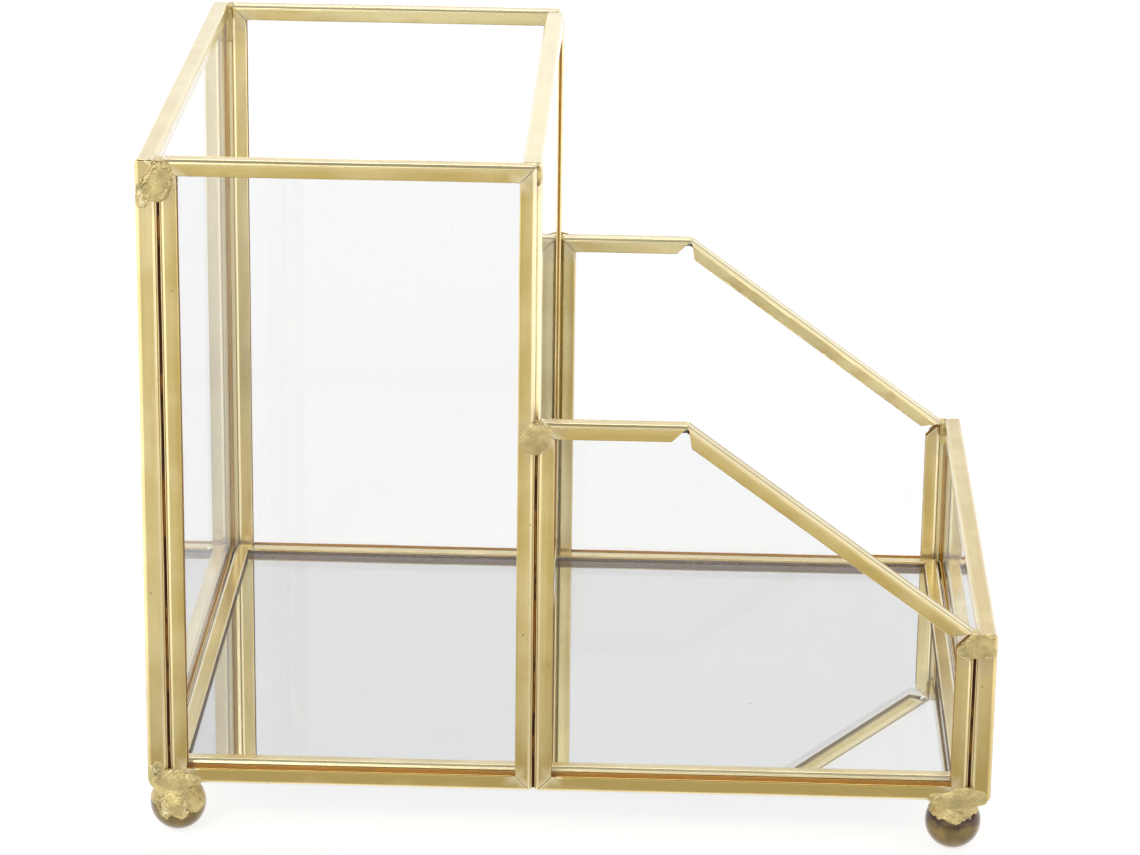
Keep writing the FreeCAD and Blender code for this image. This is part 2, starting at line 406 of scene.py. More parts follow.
class Nodes:
    """Adds nodes to one tree; a value that is a socket is linked."""

    def __init__(self, tree):
        self.tree = tree

    def add(self, kind, values=None, **options):
        node = self.tree.nodes.new(kind)
        for option, choice in options.items():
            setattr(node, option, choice)
        for socket, value in (values or {}).items():
            if isinstance(value, bpy.types.NodeSocket):
                self.tree.links.new(value, node.inputs[socket])
            else:
                node.inputs[socket].default_value = value
        return node

    def math(self, operation, first, second=0.0, third=0.0):
        node = self.add("ShaderNodeMath", {0: first, 1: second, 2: third}, operation=operation)
        return node.outputs[0]

    def ramp(self, value, low, high, new_low=0.0, new_high=1.0):
        """A value brought from one range to another, smoothly, and kept inside it."""
        node = self.add(
            "ShaderNodeMapRange",
            {"Value": value, "From Min": low, "From Max": high, "To Min": new_low, "To Max": new_high},
            interpolation_type="SMOOTHSTEP")
        return node.outputs["Result"]

    def blend(self, share, first, second):
        node = self.add("ShaderNodeMix", data_type="RGBA", clamp_factor=True)
        for socket, value in ((node.inputs[0], share), (node.inputs[6], first), (node.inputs[7], second)):
            if isinstance(value, bpy.types.NodeSocket):
                self.tree.links.new(value, socket)
            else:
                socket.default_value = value
        return node.outputs[2]

    def noise(self, vector, scale, detail=2.0, roughness=0.5):
        node = self.add(
            "ShaderNodeTexNoise",
            {"Vector": vector, "Scale": scale, "Detail": detail, "Roughness": roughness})
        return node.outputs["Fac"]


def opaque(colour):
    return (*colour, 1.0)


def new_group(name, inputs, outputs):
    """An empty node group with named sockets, and its input and output nodes."""
    tree = bpy.data.node_groups.new(name, "ShaderNodeTree")
    for socket, kind, default in inputs:
        made = tree.interface.new_socket(socket, in_out="INPUT", socket_type=kind)
        if default is not None:
            made.default_value = default
    for socket, kind in outputs:
        tree.interface.new_socket(socket, in_out="OUTPUT", socket_type=kind)
    nodes = Nodes(tree)
    return tree, nodes, nodes.add("NodeGroupInput"), nodes.add("NodeGroupOutput")


def rolled_streaks_group():
    """Fine lines that run along a rolled strip."""
    name = "Rolled Streaks"
    if name in bpy.data.node_groups:
        return bpy.data.node_groups[name]
    tree, nodes, given, result = new_group(
        name,
        (("Strip", "NodeSocketVector", None), ("Length", "NodeSocketFloat", 30.0), ("Width", "NodeSocketFloat", 5000.0)),
        (("Fine", "NodeSocketFloat"), ("Broad", "NodeSocketFloat")))
    for output, narrower in (("Fine", 1.0), ("Broad", 0.16)):
        width = nodes.math("MULTIPLY", given.outputs["Width"], narrower)
        scale = nodes.add("ShaderNodeCombineXYZ", {"X": given.outputs["Length"], "Y": width, "Z": width})
        stretched = nodes.add(
            "ShaderNodeVectorMath", {0: given.outputs["Strip"], 1: scale.outputs[0]}, operation="MULTIPLY")
        streaks = nodes.noise(stretched.outputs[0], 1.0, detail=3.0, roughness=0.6)
        tree.links.new(streaks, result.inputs[output])
    return tree


def clouds_group():
    """Large soft patches, as in thin lacquer or tarnish."""
    name = "Clouds"
    if name in bpy.data.node_groups:
        return bpy.data.node_groups[name]
    tree, nodes, given, result = new_group(
        name,
        (("Place", "NodeSocketVector", None), ("Scale", "NodeSocketFloat", 60.0), ("Cover", "NodeSocketFloat", 0.5)),
        (("Mask", "NodeSocketFloat"),))
    warp = nodes.add("ShaderNodeTexNoise", {"Vector": given.outputs["Place"], "Scale": given.outputs["Scale"]})
    patches = nodes.noise(given.outputs["Place"], given.outputs["Scale"], detail=4.0, roughness=0.55)
    both = nodes.math("MULTIPLY_ADD", warp.outputs["Fac"], 0.3, patches)
    low = nodes.math("SUBTRACT", 0.95, given.outputs["Cover"])
    high = nodes.math("ADD", low, 0.35)
    tree.links.new(nodes.ramp(both, low, high), result.inputs["Mask"])
    return tree


def specks_group():
    """Scattered small specks: dust, pits and pinholes."""
    name = "Specks"
    if name in bpy.data.node_groups:
        return bpy.data.node_groups[name]
    tree, nodes, given, result = new_group(
        name,
        (("Place", "NodeSocketVector", None), ("Scale", "NodeSocketFloat", 900.0), ("Size", "NodeSocketFloat", 0.1),
         ("Share", "NodeSocketFloat", 0.3)),
        (("Mask", "NodeSocketFloat"),))
    cells = nodes.add(
        "ShaderNodeTexVoronoi", {"Vector": given.outputs["Place"], "Scale": given.outputs["Scale"]},
        feature="F1")
    chosen = nodes.add("ShaderNodeSeparateColor", {"Color": cells.outputs["Color"]})
    kept = nodes.math("LESS_THAN", chosen.outputs[0], given.outputs["Share"])
    size = nodes.math("MULTIPLY", given.outputs["Size"], chosen.outputs[1])
    dot = nodes.math("LESS_THAN", cells.outputs["Distance"], size)
    tree.links.new(nodes.math("MULTIPLY", dot, kept), result.inputs["Mask"])
    return tree


def new_material(name):
    """A material with an empty Principled shader and its output."""
    material = bpy.data.materials.new(name)
    material.use_nodes = True
    material.node_tree.nodes.clear()
    nodes = Nodes(material.node_tree)
    shader = nodes.add("ShaderNodeBsdfPrincipled")
    output = nodes.add("ShaderNodeOutputMaterial", {"Surface": shader.outputs[0]})
    return material, nodes, shader, output


def place_of(nodes):
    return nodes.add("ShaderNodeTexCoord").outputs["Object"]


def use_group(nodes, tree, **values):
    """Places a shared group and gives its sockets their values."""
    node = nodes.tree.nodes.new("ShaderNodeGroup")
    node.node_tree = tree
    for socket, value in values.items():
        if isinstance(value, bpy.types.NodeSocket):
            nodes.tree.links.new(value, node.inputs[socket])
        else:
            node.inputs[socket].default_value = value
    return node


def strip_brass():
    """Lacquered polished brass strip, streaked along its length and discoloured by heat near the joints; painted
    highlights on its folds, painted shade towards the floor, across each leg and inside the channel.
    """
    chosen = settings().strips
    material, nodes, shader, output = new_material("Strip Brass")
    place = place_of(nodes)
    strip = nodes.add("ShaderNodeAttribute", attribute_name="strip").outputs["Vector"]
    scorch = nodes.add("ShaderNodeAttribute", attribute_name="scorch").outputs["Fac"]
    inside = nodes.add("ShaderNodeAttribute", attribute_name="inside").outputs["Fac"]
    tone = nodes.add("ShaderNodeAttribute", attribute_name="tone").outputs["Fac"]
    rubbed = nodes.add("ShaderNodeAttribute", attribute_name="rubbed").outputs["Fac"]
    across = nodes.add("ShaderNodeSeparateXYZ", {"Vector": strip}).outputs["Y"]
    streaks = use_group(nodes, rolled_streaks_group(), Strip=strip, Length=26.0, Width=5200.0)
    clouds = use_group(nodes, clouds_group(), Place=place, Scale=75.0, Cover=0.5)
    duller = nodes.math("MULTIPLY_ADD", streaks.outputs["Broad"], 0.5, nodes.math("MULTIPLY", clouds.outputs[0], 0.3))
    # Painted shade: the per-frame tone and the darkening towards the floor.
    duller = nodes.math("ADD", nodes.math("SUBTRACT", duller, 0.4), tone)
    # Painted shade across each leg: lighter by the fold, darker towards the free edge.
    duller = nodes.math("ADD", duller, nodes.ramp(across, 0.4 * MM, 3.3 * MM, -0.15, 0.15))
    brass = nodes.blend(duller, opaque(chosen.pale), opaque(chosen.deep))
    blotch = nodes.noise(place, 420.0, detail=3.0)
    heat_edge = nodes.math("MULTIPLY_ADD", nodes.math("SUBTRACT", blotch, 0.5), 0.9, scorch)
    bloom = nodes.ramp(heat_edge, 0.3, 0.8, 0.0, 0.4)
    # Painted highlight on the folds and the cut mitre edges, partly rubbed wear.
    wear_and_highlight_share = nodes.math("MULTIPLY", rubbed, nodes.ramp(streaks.outputs["Broad"], 0.3, 0.5, 0.45, 0.85))
    brass = nodes.blend(wear_and_highlight_share, brass, opaque(chosen.worn_and_highlight))
    brass = nodes.blend(bloom, brass, opaque(chosen.heated))
    specks = use_group(nodes, specks_group(), Place=place, Scale=700.0, Size=0.16, Share=0.06)
    brass = nodes.blend(nodes.math("MULTIPLY", specks.outputs[0], 0.6), brass, (0.2, 0.12, 0.04, 1.0))
    # Painted shade inside the channel: orange brown, less metal and no lacquer.
    brass = nodes.blend(inside, brass, opaque(chosen.inside))
    rough = nodes.math("MULTIPLY_ADD", streaks.outputs["Fine"], 0.14, 0.12)
    rough = nodes.math("ADD", rough, nodes.math("MULTIPLY", bloom, 0.16))
    rough = nodes.math("MULTIPLY_ADD", inside, 0.25, rough)
    rough = nodes.math("MULTIPLY_ADD", rubbed, 0.12, rough)
    height = nodes.math("MULTIPLY_ADD", streaks.outputs["Broad"], 0.8, nodes.math("MULTIPLY", streaks.outputs["Fine"], 0.2))
    dents = nodes.noise(place, 260.0, detail=1.0)
    height = nodes.math("MULTIPLY_ADD", dents, 1.3, height)
    bump = nodes.add("ShaderNodeBump", {"Strength": 0.35, "Distance": 0.03 * MM, "Height": height})
    metal = nodes.math("SUBTRACT", 1.0, nodes.math("MULTIPLY", inside, 0.8))
    lacquer = nodes.math("SUBTRACT", 1.0, inside)
    links = (("Base Color", brass), ("Roughness", rough), ("Normal", bump.outputs[0]), ("Metallic", metal),
             ("Coat Weight", lacquer))
    for socket, value in links:
        nodes.tree.links.new(value, shader.inputs[socket])
    shader.inputs["Coat Roughness"].default_value = 0.1
    shader.inputs["Coat IOR"].default_value = 1.75
    return material


def through_glass(nodes, shader, output):
    """Lets lamps light what stands behind the glass."""
    path = nodes.add("ShaderNodeLightPath")
    clear = nodes.add("ShaderNodeBsdfTransparent", {"Color": (0.95, 0.955, 0.955, 1.0)})
    mix = nodes.add(
        "ShaderNodeMixShader", {0: path.outputs["Is Shadow Ray"], 1: shader.outputs[0], 2: clear.outputs[0]})
    nodes.tree.links.new(mix.outputs[0], output.inputs["Surface"])


def clear_glass(name, tint, dust):
    """Float glass with a few specks of dust and faint wiping marks."""
    material, nodes, shader, output = new_material(name)
    place = place_of(nodes)
    wiping = nodes.noise(place, 30.0, detail=4.0, roughness=0.65)
    specks = use_group(nodes, specks_group(), Place=place, Scale=210.0, Size=0.05, Share=dust)
    rough = nodes.math("MULTIPLY_ADD", specks.outputs[0], 0.4, nodes.ramp(wiping, 0.55, 0.8, 0.0, 0.015))
    colour = nodes.blend(nodes.math("MULTIPLY", specks.outputs[0], 0.5), opaque(tint), (0.62, 0.62, 0.6, 1.0))
    nodes.tree.links.new(colour, shader.inputs["Base Color"])
    nodes.tree.links.new(rough, shader.inputs["Roughness"])
    shader.inputs["IOR"].default_value = 1.5
    shader.inputs["Transmission Weight"].default_value = 1.0
    through_glass(nodes, shader, output)
    return material


def mirror_silver():
    """Silver seen through the floor glass, with pinholes and a dull border."""
    chosen = settings().glass
    material, nodes, shader, output = new_material("Mirror Silver")
    place = place_of(nodes)
    edge = nodes.add("ShaderNodeAttribute", attribute_name="edge").outputs["Fac"]
    blotch = nodes.noise(place, 900.0, detail=3.0)
    eaten = nodes.ramp(nodes.math("MULTIPLY_ADD", blotch, 0.9, edge), 1.05, 1.25)
    specks = use_group(nodes, specks_group(), Place=place, Scale=130.0, Size=0.045, Share=0.3)
    spoilt = nodes.math("MAXIMUM", nodes.math("MULTIPLY", eaten, 0.75), nodes.math("MULTIPLY", specks.outputs[0], 0.7))
    silver = nodes.blend(spoilt, opaque(chosen.silver), (0.16, 0.16, 0.15, 1.0))
    nodes.tree.links.new(silver, shader.inputs["Base Color"])
    nodes.tree.links.new(nodes.math("MULTIPLY_ADD", spoilt, 0.4, 0.0), shader.inputs["Roughness"])
    shader.inputs["Metallic"].default_value = 1.0
    return material


def backing_paint():
    """Grey paint rolled on under the silver."""
    chosen = settings().glass
    material, nodes, shader, output = new_material("Backing Paint")
    place = place_of(nodes)
    clouds = use_group(nodes, clouds_group(), Place=place, Scale=45.0, Cover=0.5)
    darker = tuple(0.8 * part for part in chosen.backing)
    paint = nodes.blend(clouds.outputs[0], opaque(chosen.backing), opaque(darker))
    stipple = nodes.noise(place, 1600.0, detail=3.0)
    bump = nodes.add("ShaderNodeBump", {"Strength": 0.5, "Distance": 0.03 * MM, "Height": stipple})
    nodes.tree.links.new(paint, shader.inputs["Base Color"])
    nodes.tree.links.new(nodes.math("MULTIPLY_ADD", stipple, 0.2, 0.5), shader.inputs["Roughness"])
    nodes.tree.links.new(bump.outputs[0], shader.inputs["Normal"])
    return material


def ball_brass():
    """Darker polished brass, stained round the solder."""
    chosen = settings().feet
    material, nodes, shader, output = new_material("Ball Brass")
    place = place_of(nodes)
    height = nodes.add("ShaderNodeSeparateXYZ", {"Vector": place}).outputs["Z"]
    blotch = nodes.noise(place, 330.0, detail=3.0)
    rising = nodes.math("MULTIPLY_ADD", nodes.math("SUBTRACT", blotch, 0.5), 6.0 * MM, height)
    stained = nodes.ramp(rising, -0.6 * MM, 2.2 * MM, 0.0, 0.9)
    clouds = use_group(nodes, clouds_group(), Place=place, Scale=210.0, Cover=0.5)
    paler = tuple(min(1.0, 1.6 * part) for part in chosen.colour)
    brass = nodes.blend(clouds.outputs[0], opaque(chosen.colour), opaque(paler))
    brass = nodes.blend(stained, brass, opaque(chosen.stain))
    scuffs = nodes.noise(place, 1500.0, detail=4.0, roughness=0.6)
    rough = nodes.math("MULTIPLY_ADD", scuffs, 0.1, 0.05)
    rough = nodes.math("ADD", rough, nodes.math("MULTIPLY", stained, 0.12))
    bump = nodes.add("ShaderNodeBump", {"Strength": 0.25, "Distance": 0.02 * MM, "Height": scuffs})
    for socket, value in (("Base Color", brass), ("Roughness", rough), ("Normal", bump.outputs[0])):
        nodes.tree.links.new(value, shader.inputs[socket])
    shader.inputs["Metallic"].default_value = 1.0
    shader.inputs["Coat Weight"].default_value = 0.5
    shader.inputs["Coat Roughness"].default_value = 0.1
    return material


def solder_metal():
    """Brass-plated solder: grainy and half matt, bright on its broken edges partly as a painted highlight, darker in
    its hollows as painted shade, burnt in its pits, brass where thin.
    """
    chosen = settings().solder
    material, nodes, shader, output = new_material("Solder")
    place = place_of(nodes)
    ridge = nodes.add("ShaderNodeAttribute", attribute_name="ridge").outputs["Fac"]
    film = nodes.add("ShaderNodeAttribute", attribute_name="film").outputs["Fac"]
    hollow = nodes.add("ShaderNodeAttribute", attribute_name="hollow").outputs["Fac"]
    grain = nodes.noise(place, 5200.0, detail=3.0, roughness=0.7)
    flakes = nodes.noise(place, 2400.0, detail=3.0, roughness=0.6)
    lifted = nodes.math("SUBTRACT", nodes.math("MULTIPLY_ADD", ridge, 0.42, flakes), nodes.math("MULTIPLY", hollow, 0.5))
    # Painted highlight on the broken ridges and raised flakes, partly fresh broken metal.
    broken_and_highlit = nodes.ramp(lifted, 0.72, 1.0)
    clouds = use_group(nodes, clouds_group(), Place=place, Scale=330.0, Cover=0.45)
    duller = tuple(0.78 * part for part in chosen.colour)
    hollow_shade_colour = tuple(0.3 * part for part in chosen.colour)
    metal = nodes.blend(clouds.outputs[0], opaque(chosen.colour), opaque(duller))
    # Painted shade in the hollows of the solder.
    metal = nodes.blend(hollow, metal, opaque(hollow_shade_colour))
    edge = nodes.math("MULTIPLY_ADD", nodes.math("SUBTRACT", flakes, 0.5), 0.8, film)
    thin = tuple(0.85 * part for part in chosen.colour)
    metal = nodes.blend(nodes.ramp(edge, 0.0, 0.4), opaque(thin), metal)
    metal = nodes.blend(broken_and_highlit, metal, opaque(chosen.bright))
    pits = use_group(nodes, specks_group(), Place=place, Scale=1100.0, Size=0.28, Share=0.09)
    metal = nodes.blend(nodes.math("MULTIPLY", pits.outputs[0], 0.7), metal, opaque(chosen.burnt))
    rough = nodes.math("MULTIPLY_ADD", grain, 0.24, 0.14)
    rough = nodes.math("SUBTRACT", rough, nodes.math("MULTIPLY", broken_and_highlit, 0.16))
    height = nodes.math("MULTIPLY_ADD", flakes, nodes.math("MULTIPLY_ADD", ridge, 2.0, 0.9), grain)
    bump = nodes.add("ShaderNodeBump", {"Strength": 1.0, "Distance": 0.07 * MM, "Height": height})
    for socket, value in (("Base Color", metal), ("Roughness", rough), ("Normal", bump.outputs[0])):
        nodes.tree.links.new(value, shader.inputs[socket])
    shader.inputs["Metallic"].default_value = 1.0
    return material


def burnt_flux_and_gap_shade():
    """Solder in a gap, with dark brown in its groove: partly burnt flux, partly painted shade of the deep gap."""
    chosen = settings()
    material, nodes, shader, output = new_material("Burnt Flux")
    place = place_of(nodes)
    groove = nodes.add("ShaderNodeAttribute", attribute_name="groove").outputs["Fac"]
    patches = nodes.noise(place, 95.0, detail=3.0, roughness=0.6)
    bare = nodes.ramp(patches, 0.5, 0.62)
    # Painted shade: the dark brown in the groove stands for the shade deep in the gap, partly burnt flux; the tan
    # patches are bare solder.
    flux_and_gap_shade = nodes.blend(bare, (0.075, 0.022, 0.004, 1.0), (0.40, 0.2, 0.05, 1.0))
    # Painted highlight: the pale shoulders beside the groove take the worn fold colour.
    colour = nodes.blend(groove, opaque(chosen.strips.worn_and_highlight), flux_and_gap_shade)
    grain = nodes.noise(place, 2600.0, detail=3.0)
    bump = nodes.add("ShaderNodeBump", {"Strength": 0.6, "Distance": 0.05 * MM, "Height": grain})
    metal = nodes.math("SUBTRACT", 1.0, nodes.math("MULTIPLY", groove, nodes.math("SUBTRACT", 1.0, bare)))
    nodes.tree.links.new(colour, shader.inputs["Base Color"])
    nodes.tree.links.new(metal, shader.inputs["Metallic"])
    nodes.tree.links.new(nodes.math("MULTIPLY_ADD", grain, 0.3, 0.22), shader.inputs["Roughness"])
    shader.inputs["Specular IOR Level"].default_value = 0.15
    nodes.tree.links.new(bump.outputs[0], shader.inputs["Normal"])
    return material


# Brass strips

def panel_axes(node):
    """The axis through a panel, and the two in its plane: level first."""
    low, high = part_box(node)
    through = min(range(3), key=lambda axis: (high - low)[axis])
    level, upright = [axis for axis in range(3) if axis != through]
    return through, level, upright


def panel_outline(node):
    """Corners of a frame in its own plane, anticlockwise."""
    low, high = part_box(node)
    through, level, upright = panel_axes(node)
    left, right, bottom, top = low[level], high[level], low[upright], high[upright]
    if "low_" in node:
        right_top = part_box("frame_right_side")[1].z
        step = left + settings().strips.level_length
        return np.array([(left, bottom), (right, bottom), (right, right_top), (step, top), (left, top)])
    return np.array([(left, bottom), (right, bottom), (right, top), (left, top)])


def on_outline(flat, outline):
    """For each flat point: its nearest side, the distance along that side and in from it, and the side's length."""
    best = None
    for side, start in enumerate(outline):
        along = outline[(side + 1) % len(outline)] - start
        length = np.linalg.norm(along)
        along = along / length
        offset = flat - start
        reach = offset @ along
        inward = offset @ np.array((-along[1], along[0]))
        beyond = np.maximum(np.maximum(-reach, reach - length), 0)
        gap = np.hypot(inward, beyond)
        row = np.stack((gap, np.full(len(flat), side), reach, inward, np.full(len(flat), length)), axis=1)
        if best is None:
            best = row
        else:
            closer = row[:, 0] < best[:, 0]
            best[closer] = row[closer]
    return best[:, 1].astype(int), best[:, 2], best[:, 3], best[:, 4]


def mitre_distance(flat, outline):
    """How much further each flat point is from the second nearest side than from the nearest."""
    depths = []
    for start, end in zip(outline, np.roll(outline, -1, axis=0)):
        along = (end - start) / np.linalg.norm(end - start)
        depths.append(np.abs((flat - start) @ np.array((-along[1], along[0]))))
    depths = np.sort(np.stack(depths, axis=1), axis=1)
    return depths[:, 1] - depths[:, 0]


def roll_lips(work, node, outline):
    """Rounds the free edges of the legs, and a little the cut ends at the mitres."""
    chosen = settings().strips
    low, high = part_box(node)
    through, level, upright = panel_axes(node)
    touch = 0.02 * MM
    lips, ends = [], []
    for edge in work.edges:
        if len(edge.link_faces) != 2 or edge.calc_face_angle(0) < math.radians(60):
            continue
        spots = [vert.co for vert in edge.verts]
        if not all(min(abs(spot[through] - low[through]), abs(spot[through] - high[through])) < touch for spot in spots):
            continue
        flat = np.array([(spot[level], spot[upright]) for spot in spots])
        depth = on_outline(flat, outline)[2]
        if np.all(np.abs(depth - chosen.leg) < touch):
            lips.append(edge)
        elif np.all(depth > chosen.thickness):
            ends.append(edge)
    bmesh.ops.bevel(
        work, geom=lips, offset=chosen.lip, offset_type="OFFSET", segments=4, profile=0.5, affect="EDGES",
        clamp_overlap=True)
    ends = [edge for edge in ends if edge.is_valid]
    if ends:
        bmesh.ops.bevel(
            work, geom=ends, offset=chosen.mitre, offset_type="OFFSET", segments=2, profile=0.5, affect="EDGES",
            clamp_overlap=True)


def cut_rings(work, node):
    """Cuts across the strips at even distances, so that they can bend."""
    spacing = settings().strips.ring_spacing
    low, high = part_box(node)
    through, level, upright = panel_axes(node)
    for axis in (level, upright):
        count = int((high[axis] - low[axis]) / spacing)
        for step in range(1, count):
            spot = Vector(low)
            spot[axis] += (high[axis] - low[axis]) * step / count
            direction = Vector((0, 0, 0))
            direction[axis] = 1
            bmesh.ops.bisect_plane(
                work, geom=work.verts[:] + work.edges[:] + work.faces[:], plane_co=spot, plane_no=direction,
                dist=1e-7)


def cut_folds(work, node, outline):
    """Cuts beside the folds, so that they can be rounded further."""
    chosen = settings().strips
    low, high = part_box(node)
    through, level, upright = panel_axes(node)
    for share in (0.35, 0.7, 1.0):
        depth = chosen.tight_fold + (chosen.fold - chosen.tight_fold) * share
        planes = []
        for spot, way in ((low[through] + depth, 1), (high[through] - depth, -1)):
            place, direction = Vector(low), Vector((0, 0, 0))
            place[through], direction[through] = spot, way
            planes.append((place, direction))
        for start, end in zip(outline, np.roll(outline, -1, axis=0)):
            along = (end - start) / np.linalg.norm(end - start)
            place, direction = Vector(low), Vector((0, 0, 0))
            place[level], place[upright] = start[0] - along[1] * depth, start[1] + along[0] * depth
            direction[level], direction[upright] = -along[1], along[0]
            planes.append((place, direction))
        for place, direction in planes:
            bmesh.ops.bisect_plane(
                work, geom=work.verts[:] + work.edges[:] + work.faces[:], plane_co=place, plane_no=direction,
                dist=1e-7)


def round_folds(mesh, node, outline):
    """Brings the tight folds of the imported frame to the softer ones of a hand-folded strip."""
    chosen = settings().strips
    low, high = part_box(node)
    through, level, upright = panel_axes(node)
    places = np.empty(len(mesh.vertices) * 3)
    mesh.vertices.foreach_get("co", places)
    places = places.reshape(-1, 3)
    side, along, inward, length = on_outline(places[:, [level, upright]], outline)
    from_low, from_high = places[:, through] - low[through], high[through] - places[:, through]
    behind = np.minimum(from_low, from_high)
    away, down = chosen.fold - inward, chosen.fold - behind
    near = (away > 1e-9) & (down > 1e-9)
    reach = np.hypot(away, down)
    reach[reach == 0] = 1
    cosine, sine = away / reach, down / reach
    shift = chosen.fold - chosen.tight_fold
    inner = shift ** 2 * (cosine + sine) ** 2 - 2 * shift ** 2 + chosen.tight_fold ** 2
    arc = shift * (cosine + sine) + np.sqrt(np.maximum(inner, 0))
    flat = chosen.fold / np.maximum(np.maximum(cosine, sine), 1e-9)
    old = np.where((inner > 0) & (arc < flat), arc, flat)
    change = np.where(near, chosen.fold / old, 1)
    turn = outline[(side + 1) % len(outline)] - outline[side]
    turn = turn / np.linalg.norm(turn, axis=1)[:, None]
    inwards = away * (1 - change)
    behind_more = down * (1 - change) * np.where(from_low < from_high, 1, -1)
    places[:, level] += np.where(near, -turn[:, 1] * inwards, 0)
    places[:, upright] += np.where(near, turn[:, 0] * inwards, 0)
    places[:, through] += np.where(near, behind_more, 0)
    mesh.vertices.foreach_set("co", places.ravel())
    mesh.update()


def bend_strips(mesh, node, outline, seed):
    """Gives each strip its own slight waves, strongest at the free edges of the legs and none at the corners."""
    chosen = settings().strips
    low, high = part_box(node)
    through, level, upright = panel_axes(node)
    places = np.empty(len(mesh.vertices) * 3)
    mesh.vertices.foreach_get("co", places)
    places = places.reshape(-1, 3)
    side, along, inward, length = on_outline(places[:, [level, upright]], outline)
    calm = np.clip(np.minimum(along, length - along) / (9 * MM), 0, 1)
    calm = calm * calm * (3 - 2 * calm)
    face = np.sign(places[:, through] - (low[through] + high[through]) / 2)
    noise = SmoothNoise(seed)
    key = np.stack((along / chosen.wave_length + 7.3 * side, 3.1 * face, np.zeros(len(side))), axis=1)
    flare = noise.at(key, 1.0) * np.clip(inward / chosen.leg, 0.1, 1)
    sway = noise.at(key * (1, 0, 0) + (0, 0, 11.7), 1.0)
    turn = outline[(side + 1) % len(outline)] - outline[side]
    turn = turn / np.linalg.norm(turn, axis=1)[:, None]
    shift = chosen.wave * calm
    places[:, through] += shift * flare
    places[:, level] += shift * 0.6 * sway * -turn[:, 1]
    places[:, upright] += shift * 0.6 * sway * turn[:, 0]
    mesh.vertices.foreach_set("co", places.ravel())
    mesh.update()


def mark_strips(mesh, node, outline):
    """Stores the place along each strip for its streaks, how much heat reached each point, the faces inside the
    channel, the painted fold highlight and the painted shade tone.
    """
    through, level, upright = panel_axes(node)
    places = np.array([vert.co for vert in mesh.vertices])
    corner_places = places[np.array([loop.vertex_index for loop in mesh.loops])]
    strip = np.zeros((len(mesh.loops), 3))
    centres = np.array([polygon.center for polygon in mesh.polygons])
    sides = on_outline(centres[:, [level, upright]], outline)[0]
    for polygon, side in zip(mesh.polygons, sides):
        loops = slice(polygon.loop_start, polygon.loop_start + polygon.loop_total)
        start = outline[side]
        along = outline[(side + 1) % len(outline)] - start
        along = along / np.linalg.norm(along)
        offset = corner_places[loops][:, [level, upright]] - start
        strip[loops, 0] = offset @ along + 0.37 * side
        strip[loops, 1] = offset @ np.array((-along[1], along[0]))
        strip[loops, 2] = corner_places[loops][:, through]
    attribute = mesh.attributes.new("strip", "FLOAT_VECTOR", "CORNER")
    attribute.data.foreach_set("vector", strip.ravel())
    scorch = np.zeros(len(places))
    for joint in joint_places().values():
        gap = np.linalg.norm(places - np.array(joint), axis=1)
        scorch = np.maximum(scorch, 1 - gap / settings().strips.heat_reach)
    attribute = mesh.attributes.new("scorch", "FLOAT", "POINT")
    attribute.data.foreach_set("value", scorch)
    low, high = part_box(node)
    hidden = settings().strips.thickness * 0.75
    depth = on_outline(centres[:, [level, upright]], outline)[2]
    behind = np.minimum(centres[:, through] - low[through], high[through] - centres[:, through])
    # Faces inside the channel, which get the painted shade.
    inside = (depth > hidden) & (behind > hidden)
    attribute = mesh.attributes.new("inside", "FLOAT", "FACE")
    attribute.data.foreach_set("value", inside.astype(float))
    depth = on_outline(places[:, [level, upright]], outline)[2]
    behind = np.minimum(places[:, through] - low[through], high[through] - places[:, through])
    # Painted highlight along the folds and on the cut mitre edges, partly rubbed wear; faint at the outer left and
    # right edges.
    rubbed = np.clip(1.5 * (1 - np.maximum(depth, behind) / settings().strips.fold), 0, 1)
    cut_edge = (mitre_distance(places[:, [level, upright]], outline) < 0.2 * MM) & (depth > 0.8 * MM)
    rubbed[cut_edge & (behind < settings().strips.thickness)] = 1
    rubbed[np.abs(places[:, 0]) > cad_bounds[1][0] - 0.7 * MM] *= 0.1
    attribute = mesh.attributes.new("rubbed", "FLOAT", "POINT")
    attribute.data.foreach_set("value", rubbed)
    attribute = mesh.attributes.new("tone", "FLOAT", "POINT")
    # Painted shade: the strips deepen towards the floor, below 22 mm, for the shade on the bottom rails.
    shade = np.clip((22 * MM - places[:, 2]) / (6 * MM), 0, 1)
    attribute.data.foreach_set("value", STRIP_TONES_AND_SHADE.get(node, 0.3) + 0.35 * shade)


def fold_strip(node, material, seed):
    """One frame of folded strip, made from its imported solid."""
    outline = panel_outline(node)
    work = bmesh.new()
    work.from_mesh(frame["nodes"][node].data)
    bmesh.ops.remove_doubles(work, verts=work.verts, dist=1e-7)
    bmesh.ops.dissolve_limit(work, angle_limit=math.radians(0.5), verts=work.verts, edges=work.edges)
    roll_lips(work, node, outline)
    cut_rings(work, node)
    cut_folds(work, node, outline)
    mesh = mesh_from(work, node.replace("frame_", "strip_"))
    mark_strips(mesh, node, outline)
    round_folds(mesh, node, outline)
    bend_strips(mesh, node, outline, seed)
    shade_smooth(mesh, 35)
    piece = add_piece(mesh.name, mesh, material, (node,))
    even_normals(piece)
    return piece


# Mirror floor

def slab(low, high, arris):
    """A flat slab with ground edges."""
    work = bmesh.new()
    bmesh.ops.create_cube(work, size=1.0)
    for vert in work.verts:
        vert.co = Vector(high[axis] if vert.co[axis] > 0 else low[axis] for axis in range(3))
    if arris:
        bmesh.ops.bevel(work, geom=work.edges[:], offset=arris, segments=1, profile=0.5, affect="EDGES")
    return work


# Solder: each joint is cast on a grid, in millimetres from a corner, with y standing out from the face

